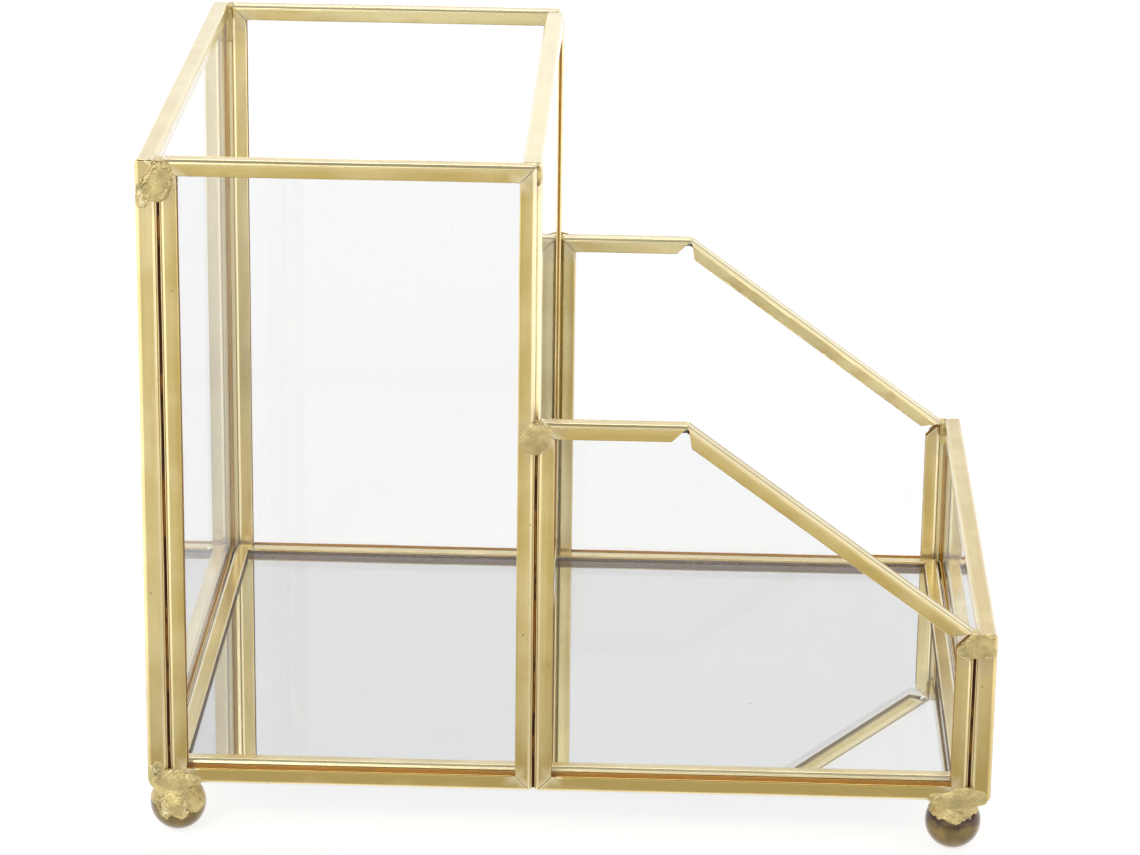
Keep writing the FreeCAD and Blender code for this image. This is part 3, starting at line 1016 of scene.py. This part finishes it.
LEFT_FOOT_EDGE = ((-180, 3.0), (-90, 1.6), (-60, 1.1), (-45, 0.7), (-30, -1.6), (-17, -1.7), (-3, -0.8), (14, -1.8),
                  (30, -0.6), (50, -0.6), (64, 0.1), (90, 1.2), (180, 3.0))
RIGHT_FOOT_EDGE = ((-180, 3.2), (-90, 2.9), (-63, 2.3), (-45, 2.3), (-25, 2.1), (-13, 1.8), (1, 1.4), (12, 2.0),
                   (29, 2.4), (51, 2.8), (73, 2.6), (90, 2.9), (180, 3.2))


def cast_solder(name, node, low, high, place, shape, ridges, seed, material, coarse=0.35):
    """Casts one solder joint: shape gives the distance to its surface, ridges the lines along which it is broken."""
    chosen = settings().solder
    origin, outward, face = place
    step = chosen.grid / MM * 1.0
    low, high = np.array(low, float), np.array(high, float)
    counts = np.ceil((high - low) / step).astype(int) + 1
    points = np.stack(np.meshgrid(*(np.arange(count) * step for count in counts), indexing="ij"), axis=-1) + low
    values = shape(points)
    near = np.abs(values) < 0.6
    noise = SmoothNoise(seed)
    spots = points[near]
    gap = np.full(len(spots), 9.0)
    for start, end, reach in ridges:
        gap = np.minimum(gap, bead(spots, start, end, 0.0) / reach)
    crumble = np.clip(1 - gap, 0, 1)
    lumps = noise.at(spots + 40.0, 1.4) * chosen.lump + noise.at(spots, 0.5) * chosen.grain
    lumps = lumps + np.sqrt(crumble) * noise.at(spots + 17.0, 0.34) * chosen.crumbs
    lumps = lumps + np.sqrt(crumble) * noise.at(spots + 29.0, 0.8) * chosen.crumbs * coarse
    values[near] -= lumps / MM
    places, faces = skin_of(values, low, step)
    gap = np.full(len(places), 9.0)
    for start, end, reach in ridges:
        gap = np.minimum(gap, bead(places, start, end, 0.0) / reach)
    film = np.clip((places[:, 1] - face) / 0.3, 0, 1)
    # Painted shade: darker where the lumps dip, more so near the broken ridges.
    hollow = noise.at(places + 17.0, 0.34) * 0.6 + noise.at(places + 29.0, 0.8) * 0.6 + noise.at(places + 40.0, 1.4) * 0.4
    hollow = np.clip(0.45 - 1.6 * hollow, 0, 1) * (0.35 + 0.65 * np.clip(1.3 - gap, 0, 1))
    places = places * (1, outward, 1) * MM + np.array(origin)
    if outward < 0:
        faces = faces[:, ::-1]
    mesh = bpy.data.meshes.new(name)
    mesh.from_pydata(places.tolist(), [], faces.tolist())
    mesh.validate()
    for attribute, amount in (("ridge", np.clip(1.15 - gap, 0, 1)), ("film", film), ("hollow", hollow * min(coarse, 0.4))):
        made = mesh.attributes.new(attribute, "FLOAT", "POINT")
        made.data.foreach_set("value", amount)
    mesh.shade_smooth()
    return add_piece(name, mesh, material, (node,))


def behind_face(points, depth):
    """Distance to the space in front of a plane that lies a little behind the face."""
    return -depth - points[..., 1]


def top_left_joint(end, outward, face, material, seed):
    """A low dome over the side strip, the gap and the tall wall's strip, with crumbly edges."""
    low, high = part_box("frame_left_side")
    gap = (high.x - low.x) / MM
    width = (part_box("frame_tall_front")[0].x - high.x) / MM
    crest = ((gap + 0.5, 0.25, -0.6), (3.4, 0.4, -2.3), (2.1, 0.4, -4.4), (0.7, 0.2, -6.0))
    right_crest = ((gap + 3.4, 0.1, -4.0), (gap + 2.8, 0.2, -6.0), (gap + 1.5, 0.25, -7.9))
    top_crest = ((gap + 1.0, 0.2, -0.7), (gap + 3.3, 0.15, -2.1), (gap + 3.5, 0.1, -4.0))
    ridges = [(start, finish, 0.75) for line in (crest, right_crest, top_crest) for start, finish in zip(line, line[1:])]
    ridges += [((0.8, 0.1, -6.5), (1.6, 0.1, -9.5), 1.3), ((2.4, 0.1, -6.8), (2.4, 0.1, -8.8), 0.9)]

    def shape(points):
        parts = [
            blob(points, (gap + 0.6, -0.2, -4.6), (3.2, 0.85, 4.3)),
            blob(points, (2.6, -0.2, -6.0), (2.0, 0.55, 2.6)),
            blob(points, (1.6, -0.25, -7.6), (1.7, 0.42, 3.6)),
            blob(points, (gap + 1.8, -0.2, -2.4), (2.3, 0.55, 2.3))]
        parts += [bead(points, start, finish, 0.24) for start, finish in zip(crest, crest[1:])]
        parts += [bead(points, start, finish, 0.16) for start, finish in zip(right_crest, right_crest[1:])]
        parts += [bead(points, start, finish, 0.12) for start, finish in zip(top_crest, top_crest[1:])]
        over = np.maximum(melt(parts, 0.45), behind_face(points, 0.3))
        filling = block(points, (gap - 0.3, -3.4, -8.9), (gap + width + 0.3, 0.12, 0.0), 0.3)
        whole = melt([over, filling], 0.25)
        return np.maximum(np.maximum(whole, points[..., 2] - 0.02), 0.05 - points[..., 0])

    place = ((low.x, face, high.z), outward, 0.0)
    cast_solder("top_left_solder_" + end, "solder_top_left_" + end, (-0.5, -3.8, -12.0), (9.4, 1.2, 0.5), place, shape,
                ridges, seed, material)


def step_joint(end, outward, face, material, seed):
    """A round matt button where the low wall meets the tall one."""
    gap_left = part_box("frame_tall_front")[1].x
    low_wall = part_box("frame_low_front")
    width = (low_wall[0].x - gap_left) / MM
    ridges = [((2.4, 0.1, -5.6), (3.5, 0.1, -4.4), 0.8), ((width - 1.0, 0.2, 0.1), (width + 2.0, 0.2, -0.3), 0.6),
              ((-2.8, 0.1, -1.2), (-2.9, 0.1, -3.0), 0.5)]

    def shape(points):
        button = melt([
            blob(points, (0.4, -0.25, -3.1), (3.3, 0.72, 3.6)),
            blob(points, (1.7, -0.2, -1.6), (2.2, 0.5, 1.8)),
            blob(points, (-0.9, -0.2, -3.9), (2.2, 0.5, 2.4))], 0.6)
        button = np.maximum(button, behind_face(points, 0.3))
        filling = block(points, (-0.3, -3.4, -6.9), (width + 0.3, 0.15, 0.0), 0.3)
        return melt([button, filling], 0.3)

    place = ((gap_left, face, low_wall[1].z), outward, 0.0)
    cast_solder("step_solder_" + end, "solder_step_" + end, (-4.0, -3.8, -7.6), (4.6, 1.0, 1.0), place, shape, ridges,
                seed, material)


def top_right_joint(end, outward, face, material, seed):
    """Solder over the square between the slope's foot and the right wall."""
    low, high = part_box("frame_right_side")
    gap_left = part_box("frame_low_front")[1].x
    width = (low.x - gap_left) / MM
    full = (high.x - gap_left) / MM
    ridges = [((-2.9, 0.1, -3.4), (-0.5, 0.15, -0.9), 0.5), ((-2.8, 0.1, -4.6), (-0.8, 0.1, -6.2), 0.7),
              ((width + 1.2, 0.1, -5.4), (full - 0.8, 0.1, -5.0), 0.8), ((width, 0.15, -0.4), (full - 0.5, 0.1, -0.5), 0.5)]

    def shape(points):
        over = melt([
            block(points, (-2.6, -0.6, -4.6), (full - 0.3, 0.28, 0.3), 0.5),
            blob(points, (-1.4, -0.2, -4.6), (1.8, 0.5, 1.7)),
            blob(points, (full - 2.2, -0.2, -4.2), (2.3, 0.5, 1.7)),
            blob(points, (1.0, -0.2, -2.6), (3.2, 0.62, 2.6))], 0.5)
        over = np.maximum(over, behind_face(points, 0.3))
        notch = (points[..., 2] - points[..., 0]) / math.sqrt(2) - 0.25
        over = np.maximum(over, notch)
        filling = block(points, (-0.3, -3.4, -5.6), (width + 0.3, 0.1, 0.0), 0.3)
        whole = melt([over, filling], 0.25)
        return np.maximum(np.maximum(whole, points[..., 2] - 0.02), points[..., 0] - full + 0.05)

    place = ((gap_left, face, high.z), outward, 0.0)
    cast_solder("top_right_solder_" + end, "solder_top_right_" + end, (-4.2, -3.8, -7.2), (full + 0.5, 1.0, 0.5), place,
                shape, ridges, seed, material)


def divider_joint(end, outward, face, material, seed):
    """A small grey bead between the tall wall's side and the divider's end."""
    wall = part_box("frame_tall_front")
    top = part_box("frame_divider")[1].z
    channel = (wall[1].y - wall[0].y) / MM
    ridges = [((0.1, -channel + 0.9, -1.6), (0.8, -channel + 0.4, -3.6), 0.7)]

    def shape(points):
        return melt([
            blob(points, (0.1, -channel + 0.55, -2.4), (0.95, 0.95, 1.9)),
            blob(points, (0.3, -channel + 0.2, -3.9), (0.6, 0.6, 1.1))], 0.4)

    place = ((wall[1].x, face, top), outward, -9.0)
    cast_solder("divider_solder_" + end, "solder_divider_" + end, (-1.6, -channel - 1.2, -5.8),
                (1.8, -channel + 2.2, 0.4), place, shape, ridges, seed, material)


def foot_joint(side, end, outward, face, material, seed):
    """Solder over the top of a ball, up the faces beside it and into the bottom of the gap."""
    ball_low, ball_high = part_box("foot_" + end + "_" + side)
    centre = (ball_low + ball_high) / 2
    radius = (ball_high.x - ball_low.x) / 2 / MM
    middle = ball_low.z + math.sqrt(radius ** 2 - (settings().feet.floor_flat / MM / 2) ** 2) * MM
    under = (ball_high.z - middle) / MM
    out = outward * (face - centre.y) / MM
    if side == "left":
        gap_walls = (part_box("frame_left_side")[1].x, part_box("frame_tall_front")[0].x)
        edge, inward = (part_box("frame_left_side")[0].x - centre.x) / MM, 1
    else:
        gap_walls = (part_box("frame_low_front")[1].x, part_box("frame_right_side")[0].x)
        edge, inward = (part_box("frame_right_side")[1].x - centre.x) / MM, -1
    gap_start, gap_end = ((wall - centre.x) / MM for wall in gap_walls)
    gap_middle = (gap_start + gap_end) / 2
    if side == "left":
        plates = (((edge + 2.0, under + 1.6), (2.1, 0.5, 3.4)), ((gap_middle + 0.9, under + 1.0), (3.0, 0.6, 2.3)),
                  ((3.0, under + 0.7), (2.6, 0.45, 1.5)))
        ridges = [((-2.9, out + 1.2, 1.6), (-1.7, out + 2.2, -0.8), 1.9), ((2.0, out + 1.8, 1.2), (2.6, out + 1.8, -0.3), 1.6),
                  ((edge + 0.9, out + 0.1, under + 3.8), (edge + 2.6, out + 0.2, under + 1.6), 1.7),
                  ((gap_middle - 0.2, out + 0.3, under + 2.6), (gap_middle + 0.9, out + 0.3, under + 3.0), 0.7),
                  ((2.2, out + 0.2, under + 1.2), (4.2, out + 0.1, under + 0.6), 0.8)]
        lower_edge = LEFT_FOOT_EDGE
    else:
        plates = (((gap_middle - 0.6, under + 1.0), (4.2, 0.5, 2.3)), ((edge - 2.4, under + 0.8), (2.4, 0.42, 1.8)),
                  ((-3.6, under + 0.8), (2.4, 0.4, 1.4)))
        ridges = [((-4.4, out + 0.6, 1.9), (-2.2, out + 1.6, 1.9), 0.5), ((-2.2, out + 1.6, 1.9), (0.1, out + 2.2, 1.3), 0.7),
                  ((0.1, out + 2.2, 1.3), (2.6, out + 1.5, 2.3), 0.7), ((2.6, out + 1.5, 2.3), (4.4, out + 0.3, 2.6), 0.6)]
        lower_edge = RIGHT_FOOT_EDGE
    angles = np.arange(-180, 181, 1.0)
    heights = np.interp(angles, *zip(*lower_edge))
    round_way = np.stack((np.cos(np.radians(angles)), np.sin(np.radians(angles)), 0 * angles), axis=1) * radius
    heights = heights + SmoothNoise(seed + 90).at(round_way, 0.9) * 0.28

    def shape(points):
        around = np.degrees(np.arctan2(points[..., 0], points[..., 1]))
        tongue = np.interp(around, angles, heights)
        shell = blob(points, (0, 0.15, 0), (radius + 0.05, radius + 0.12, radius + 0.12))
        pad = block(points, (-4.3, -4.0, under - 0.35), (4.7, out + 0.3, under + 0.9), 0.3)
        neck = bead(points, (0, 0.2, under - 2.6), (0, 0.2, under), 3.5, 3.9)
        over = melt([blob(points, (x, out - 0.2, z), radii) for (x, z), radii in plates], 0.5)
        over = np.maximum(over, out - 0.5 - points[..., 1])
        lower = melt([shell, pad, neck, over], 1.3)
        lower = np.maximum(lower, tongue - points[..., 2])
        within_frame = np.minimum(points[..., 2] - under - 0.05, out - 0.25 - points[..., 1])
        lower = np.maximum(lower, within_frame)
        filling = block(points, (gap_start - 0.3, out - 3.4, under - 0.1), (gap_end + 0.3, out + 0.12, under + 3.1), 0.3)
        whole = melt([lower, filling], 0.25)
        beyond = (edge - points[..., 0]) * inward + 0.05
        return np.maximum(whole, np.where(points[..., 2] > under - 0.6, beyond, -9))

    place = ((centre.x, centre.y, middle), outward, out - 9.0)
    span = radius + 0.8
    cast_solder("foot_solder_" + side + "_" + end, "solder_foot_" + side + "_" + end, (-span, -span, -3.0),
                (span, out + 3.4, under + 5.6), place, shape, ridges, seed, material, 1.0)


def fill_seam(name, gap, outward, face, bottom, top, material, seed):
    """Flux and solder left inside a gap between two strips: rounded shoulders with a dark groove between them; the dark
    groove is partly painted shade of the deep gap, the pale shoulders carry a painted fold highlight.
    """
    chosen = settings().solder
    rings = 90
    heights = np.linspace(bottom, top, rings)
    noise = SmoothNoise(seed)
    shares = np.array((0.0, 0.08, 0.16, 0.22, 0.28, 0.5, 0.72, 0.78, 0.84, 0.92, 1.0))
    sunk = np.array((0.55, 0.57, 0.68, 0.9, 1.35, 1.5, 1.35, 0.9, 0.68, 0.57, 0.55)) * chosen.seam_depth
    groove = np.array((0.0, 0.0, 0.1, 0.8, 1.0, 1.0, 1.0, 0.8, 0.1, 0.0, 0.0))
    across = gap[0] + (gap[1] - gap[0]) * shares
    spots = np.stack((np.zeros(rings), np.zeros(rings), heights), axis=1)
    uneven = noise.at(spots, 7 * MM) * 0.1 * MM + noise.at(spots + 1, 1.5 * MM) * 0.03 * MM
    sideways = noise.at(spots + 2, 11 * MM) * 0.1 * MM
    verts, faces = [], []
    for height, wave, sway in zip(heights, uneven, sideways):
        verts += [(x + sway * dark, face - outward * (depth + wave), height)
                  for x, depth, dark in zip(across, sunk, groove)]
        back = face - outward * (1.5 * chosen.seam_depth + chosen.seam_thickness)
        verts += [(across[-1], back, height), (across[0], back, height)]
    around = len(across) + 2
    for ring in range(rings - 1):
        for side in range(around):
            after = (side + 1) % around
            near, far = ring * around, (ring + 1) * around
            faces.append((near + side, near + after, far + after, far + side))
    faces.append(tuple(range(around))[::-1])
    faces.append(tuple(range((rings - 1) * around, rings * around)))
    work = bmesh.new()
    made = [work.verts.new(spot) for spot in verts]
    for corners in faces:
        work.faces.new([made[corner] for corner in corners])
    bmesh.ops.recalc_face_normals(work, faces=work.faces)
    mesh = mesh_from(work, name)
    attribute = mesh.attributes.new("groove", "FLOAT", "POINT")
    attribute.data.foreach_set("value", np.tile(np.append(groove, (0.0, 0.0)), rings))
    shade_smooth(mesh, 60)
    return add_piece(name, mesh, material)


# Operators

class GLASSBOX_OT_stage(bpy.types.Operator):
    """Makes the camera, the pale floor, the studio walls and the softboxes"""
    bl_idname = "glass_box.stage"
    bl_label = "Stage"

    def execute(self, context):
        chosen = settings().stage
        scene = context.scene
        scene.view_settings.view_transform = "Standard"
        self.add_camera(scene, chosen)
        self.add_floor(scene, chosen)
        self.add_walls(scene, chosen)
        self.add_softboxes(scene, chosen)
        return {"FINISHED"}

    def add_camera(self, scene, chosen):
        data = bpy.data.cameras.new("Camera")
        data.lens = chosen.lens
        data.sensor_width = 36.0
        data.sensor_fit = "HORIZONTAL"
        data.clip_start = 0.01
        camera = bpy.data.objects.new("Camera", data)
        turned = Matrix.Rotation(chosen.turn, 4, "Z")
        tilted = Matrix.Rotation(math.pi / 2 - chosen.tilt, 4, "X")
        rolled = Matrix.Rotation(chosen.roll, 4, "Z")
        camera.matrix_world = Matrix.Translation(Vector(chosen.camera_place)) @ turned @ tilted @ rolled
        scene.collection.objects.link(camera)
        scene.camera = camera

    def add_floor(self, scene, chosen):
        """A white light table, dimmer in a patch in front of the box."""
        material, nodes, shader, output = new_material("Studio Floor")
        place = place_of(nodes)
        parts = nodes.add("ShaderNodeSeparateXYZ", {"Vector": place})
        ahead = nodes.ramp(parts.outputs["Y"], -0.072, -0.1)
        outwards = nodes.math("ABSOLUTE", parts.outputs["X"])
        spread = nodes.math("MULTIPLY_ADD", parts.outputs["Y"], 0.42, outwards)
        middle = nodes.ramp(spread, 0.14, 0.07)
        further = nodes.ramp(parts.outputs["Y"], -0.1, -0.22, 1.0, 0.63)
        dim = nodes.math("MULTIPLY", nodes.math("MULTIPLY", ahead, middle), nodes.math("MULTIPLY", further, chosen.floor_dim))
        sides = nodes.ramp(outwards, 0.15, 0.22)
        lit = chosen.floor_glow / chosen.side_glow
        glow = nodes.blend(sides, opaque([lit] * 3), (1.0, 1.0, 1.0, 1.0))
        glow = nodes.blend(dim, glow, (0.0, 0.0, 0.0, 1.0))
        paper = nodes.noise(place, 900.0, detail=3.0)
        shade = nodes.blend(paper, opaque(chosen.floor_colour), opaque([0.985 * part for part in chosen.floor_colour]))
        nodes.tree.links.new(shade, shader.inputs["Base Color"])
        nodes.tree.links.new(glow, shader.inputs["Emission Color"])
        shader.inputs["Emission Strength"].default_value = chosen.side_glow
        shader.inputs["Roughness"].default_value = 0.75
        shader.inputs["Specular IOR Level"].default_value = 0.2
        work = bmesh.new()
        bmesh.ops.create_circle(work, cap_ends=True, segments=96, radius=chosen.floor_size / 2)
        floor = bpy.data.objects.new("Floor", mesh_from(work, "Floor"))
        floor.data.materials.append(material)
        scene.collection.objects.link(floor)

    def add_walls(self, scene, chosen):
        """Soft studio walls: bright behind and in front, dimmer at the sides and overhead."""
        world = bpy.data.worlds.new("Studio")
        world.use_nodes = True
        world.node_tree.nodes.clear()
        nodes = Nodes(world.node_tree)
        way = nodes.add("ShaderNodeTexCoord").outputs["Generated"]
        parts = nodes.add("ShaderNodeSeparateXYZ", {"Vector": way})
        rearward = nodes.ramp(parts.outputs["Y"], -0.5, 0.5)
        sideways = nodes.ramp(nodes.math("ABSOLUTE", parts.outputs["X"]), 0.6, 0.95)
        upward = nodes.ramp(parts.outputs["Z"], 0.5, 0.85)
        level = nodes.math("MULTIPLY_ADD", rearward, chosen.rear_sky - chosen.front_sky, chosen.front_sky)
        level = nodes.math("MULTIPLY_ADD", sideways, nodes.math("SUBTRACT", chosen.side_sky, level), level)
        level = nodes.math("MULTIPLY_ADD", upward, nodes.math("SUBTRACT", chosen.ceiling, level), level)
        background = nodes.add("ShaderNodeBackground", {"Color": (1.0, 1.0, 1.0, 1.0), "Strength": level})
        nodes.add("ShaderNodeOutputWorld", {"Surface": background.outputs[0]})
        scene.world = world

    def add_softboxes(self, scene, chosen):
        boxes = (
            ("Rear Softbox", (0.0, 0.75, 1.05), (0.0, 0.0, 0.0), 0.9, 0.35, chosen.softbox),
            ("Left Softbox", (-1.05, -0.45, 0.62), (0.0, 0.0, 0.07), 0.35, 0.9, chosen.softbox * 0.3),
            ("Right Softbox", (1.05, -0.35, 0.55), (0.0, 0.0, 0.07), 0.3, 0.8, chosen.softbox * 0.25),
            ("Front Lamp", (-0.4, -0.95, 0.85), (0.0, -0.07, 0.05), 0.22, 0.22, chosen.softbox * 0.6),
        )
        for name, place, target, width, height, power in boxes:
            data = bpy.data.lights.new(name, "AREA")
            data.shape = "RECTANGLE"
            data.size = width
            data.size_y = height
            data.energy = power
            lamp = bpy.data.objects.new(name, data)
            lamp.location = place
            lamp.rotation_euler = (Vector(target) - Vector(place)).to_track_quat("-Z", "Y").to_euler()
            scene.collection.objects.link(lamp)


class GLASSBOX_OT_strips(bpy.types.Operator):
    """Folds the brass strips round the glass"""
    bl_idname = "glass_box.strips"
    bl_label = "Brass Strips"

    def execute(self, context):
        material = strip_brass()
        for seed, node in enumerate(FRAMES):
            fold_strip(node, material, 100 + seed)
        return {"FINISHED"}


class GLASSBOX_OT_panes(bpy.types.Operator):
    """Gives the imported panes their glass"""
    bl_idname = "glass_box.panes"
    bl_label = "Glass Panes"

    def execute(self, context):
        material = clear_glass("Clear Glass", settings().glass.tint, 0.12)
        for node in PANES:
            mesh = frame["nodes"][node].data
            mesh.materials.clear()
            mesh.materials.append(material)
        return {"FINISHED"}


class GLASSBOX_OT_mirror(bpy.types.Operator):
    """Makes the floor of mirror glass, its silver and its backing paint"""
    bl_idname = "glass_box.mirror"
    bl_label = "Mirror Floor"

    def execute(self, context):
        chosen = settings().glass
        low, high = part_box("mirror_floor")
        inset = Vector((0.05 * MM, 0.05 * MM, 0))
        paint_top = low.z + chosen.paint_thickness
        silver_top = paint_top + chosen.silver_thickness
        air = 0.01 * MM
        glass = mesh_from(slab(Vector((low.x, low.y, silver_top + air)), high, chosen.arris), "mirror_glass")
        add_piece("mirror_glass", glass, clear_glass("Mirror Glass", chosen.mirror_tint, 0.2), ("mirror_floor",))
        sheet = slab(
            Vector((low.x + inset.x, low.y + inset.y, paint_top)), Vector((high.x - inset.x, high.y - inset.y, silver_top)), 0)
        self.cut_grid(sheet, low, high)
        silver = mesh_from(sheet, "mirror_silver")
        places = np.array([vert.co for vert in silver.vertices])
        border = np.min([places[:, 0] - low.x, high.x - places[:, 0], places[:, 1] - low.y, high.y - places[:, 1]], axis=0)
        edge = silver.attributes.new("edge", "FLOAT", "POINT")
        edge.data.foreach_set("value", np.clip(1 - border / (6 * MM), 0, 1))
        add_piece("mirror_silver", silver, mirror_silver())
        paint = mesh_from(slab(low + inset, Vector((high.x - inset.x, high.y - inset.y, paint_top)), 0), "mirror_backing")
        add_piece("mirror_backing", paint, backing_paint())
        return {"FINISHED"}

    def cut_grid(self, work, low, high):
        """Cuts the silver near its border, where it is dull."""
        for axis in (0, 1):
            direction = Vector((0, 0, 0))
            direction[axis] = 1
            for distance in (2 * MM, 4 * MM, 6 * MM):
                for spot in (low[axis] + distance, high[axis] - distance):
                    place = Vector((0, 0, 0))
                    place[axis] = spot
                    bmesh.ops.bisect_plane(
                        work, geom=work.verts[:] + work.edges[:] + work.faces[:], plane_co=place, plane_no=direction,
                        dist=1e-7)


class GLASSBOX_OT_feet(bpy.types.Operator):
    """Turns the ball feet"""
    bl_idname = "glass_box.feet"
    bl_label = "Ball Feet"

    def execute(self, context):
        material = ball_brass()
        for seed, node in enumerate(FEET):
            self.turn_ball(node, material, 300 + seed)
        return {"FINISHED"}

    def turn_ball(self, node, material, seed):
        """A ball turned from rod, with softened flats and faint tool marks."""
        chosen = settings().feet
        low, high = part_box(node)
        radius = (high.x - low.x) / 2
        middle = low.z + math.sqrt(radius ** 2 - (chosen.floor_flat / 2) ** 2)
        start = math.asin(chosen.floor_flat / 2 / radius)
        finish = math.pi - math.asin(chosen.seat_flat / 2 / radius)
        rings = chosen.segments // 2
        profile = [Vector((0, 0, low.z - middle))]
        for ring in range(rings + 1):
            angle = start + (finish - start) * ring / rings
            profile.append(Vector((radius * math.sin(angle), 0, -radius * math.cos(angle))))
        profile.append(Vector((0, 0, high.z - middle)))
        work = bmesh.new()
        verts = [work.verts.new(spot) for spot in profile]
        edges = [work.edges.new(pair) for pair in zip(verts, verts[1:])]
        bmesh.ops.spin(
            work, geom=verts + edges, cent=(0, 0, 0), axis=(0, 0, 1), angle=2 * math.pi, steps=chosen.segments,
            use_merge=True, use_duplicate=False)
        bmesh.ops.remove_doubles(work, verts=work.verts, dist=1e-6)
        bmesh.ops.recalc_face_normals(work, faces=work.faces)
        mesh = mesh_from(work, node.replace("foot_", "ball_foot_"))
        places = np.array([vert.co for vert in mesh.vertices])
        level = np.clip(1 - np.abs(places[:, 2]) / radius, 0, 1)
        worn_and_highlight = SmoothNoise(seed).at(places, 3.5 * MM) * 0.035 * MM * np.sqrt(level)
        places *= (1 - np.abs(worn_and_highlight) / radius)[:, None]
        mesh.vertices.foreach_set("co", places.ravel())
        shade_smooth(mesh, 25)
        piece = add_piece(mesh.name, mesh, material, (node,))
        piece.location = ((low.x + high.x) / 2, (low.y + high.y) / 2, middle)
        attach(piece, "root")


class GLASSBOX_OT_solder(bpy.types.Operator):
    """Casts the solder joints"""
    bl_idname = "glass_box.solder"
    bl_label = "Solder Joints"

    def execute(self, context):
        material = solder_metal()
        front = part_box("frame_tall_front")[0].y
        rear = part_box("frame_tall_rear")[1].y
        for number, (end, outward, face) in enumerate((("front", -1, front), ("rear", 1, rear))):
            seed = 500 + 50 * number
            top_left_joint(end, outward, face, material, seed)
            step_joint(end, outward, face, material, seed + 1)
            top_right_joint(end, outward, face, material, seed + 2)
            divider_joint(end, outward, face, material, seed + 3)
            foot_joint("left", end, outward, face, material, seed + 4)
            foot_joint("right", end, outward, face, material, seed + 5)
        return {"FINISHED"}


class GLASSBOX_OT_seams(bpy.types.Operator):
    """Fills the gaps between the strips with burnt flux and painted shade"""
    bl_idname = "glass_box.seams"
    bl_label = "Flux Seams"

    def execute(self, context):
        material = burnt_flux_and_gap_shade()
        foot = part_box("foot_front_left")[1].z + 2.0 * MM
        for number, (end, outward) in enumerate((("front", -1), ("rear", 1))):
            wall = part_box("frame_tall_" + end)
            low_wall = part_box("frame_low_" + end)
            face = wall[0].y if outward < 0 else wall[1].y
            left = (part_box("frame_left_side")[1].x, wall[0].x)
            step = (wall[1].x, low_wall[0].x)
            right = (low_wall[1].x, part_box("frame_right_side")[0].x)
            seams = (("left_seam", left, foot, wall[1].z - 8.0 * MM), ("step_seam", step, foot - 1.6 * MM, low_wall[1].z - 6.0 * MM),
                     ("right_seam", right, foot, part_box("frame_right_side")[1].z - 5.0 * MM))
            for name, gap, bottom, top in seams:
                fill_seam(name + "_" + end, gap, outward, face, bottom, top, material, 700 + number)
        return {"FINISHED"}


OPERATORS = (
    GLASSBOX_OT_stage, GLASSBOX_OT_strips, GLASSBOX_OT_panes, GLASSBOX_OT_mirror, GLASSBOX_OT_feet, GLASSBOX_OT_solder,
    GLASSBOX_OT_seams)


class GLASSBOX_PT_panel(bpy.types.Panel):
    """Lists the steps and the settings of the box"""
    bl_idname = "GLASSBOX_PT_panel"
    bl_label = "Glass Box"
    bl_space_type = "VIEW_3D"
    bl_region_type = "UI"
    bl_category = "Glass Box"

    def draw(self, context):
        column = self.layout.column(align=True)
        for operator in OPERATORS:
            column.operator(operator.bl_idname)
        for part in ("strips", "glass", "feet", "solder", "stage"):
            group = getattr(context.scene.glass_box, part)
            box = self.layout.box()
            box.label(text=part.title())
            for setting in type(group).__annotations__:
                box.prop(group, setting)


CLASSES = (
    StripSettings, GlassSettings, FootSettings, SolderSettings, StageSettings, GlassBoxSettings,
    *OPERATORS, GLASSBOX_PT_panel)


def register():
    for made in CLASSES:
        bpy.utils.register_class(made)
    bpy.types.Scene.glass_box = bpy.props.PointerProperty(type=GlassBoxSettings)


def unregister():
    del bpy.types.Scene.glass_box
    for made in reversed(CLASSES):
        bpy.utils.unregister_class(made)


def main():
    register()
    bpy.ops.glass_box.stage()
    bpy.ops.glass_box.strips()
    bpy.ops.glass_box.panes()
    bpy.ops.glass_box.mirror()
    bpy.ops.glass_box.feet()
    bpy.ops.glass_box.solder()
    bpy.ops.glass_box.seams()


if __name__ == "__main__":
    main()
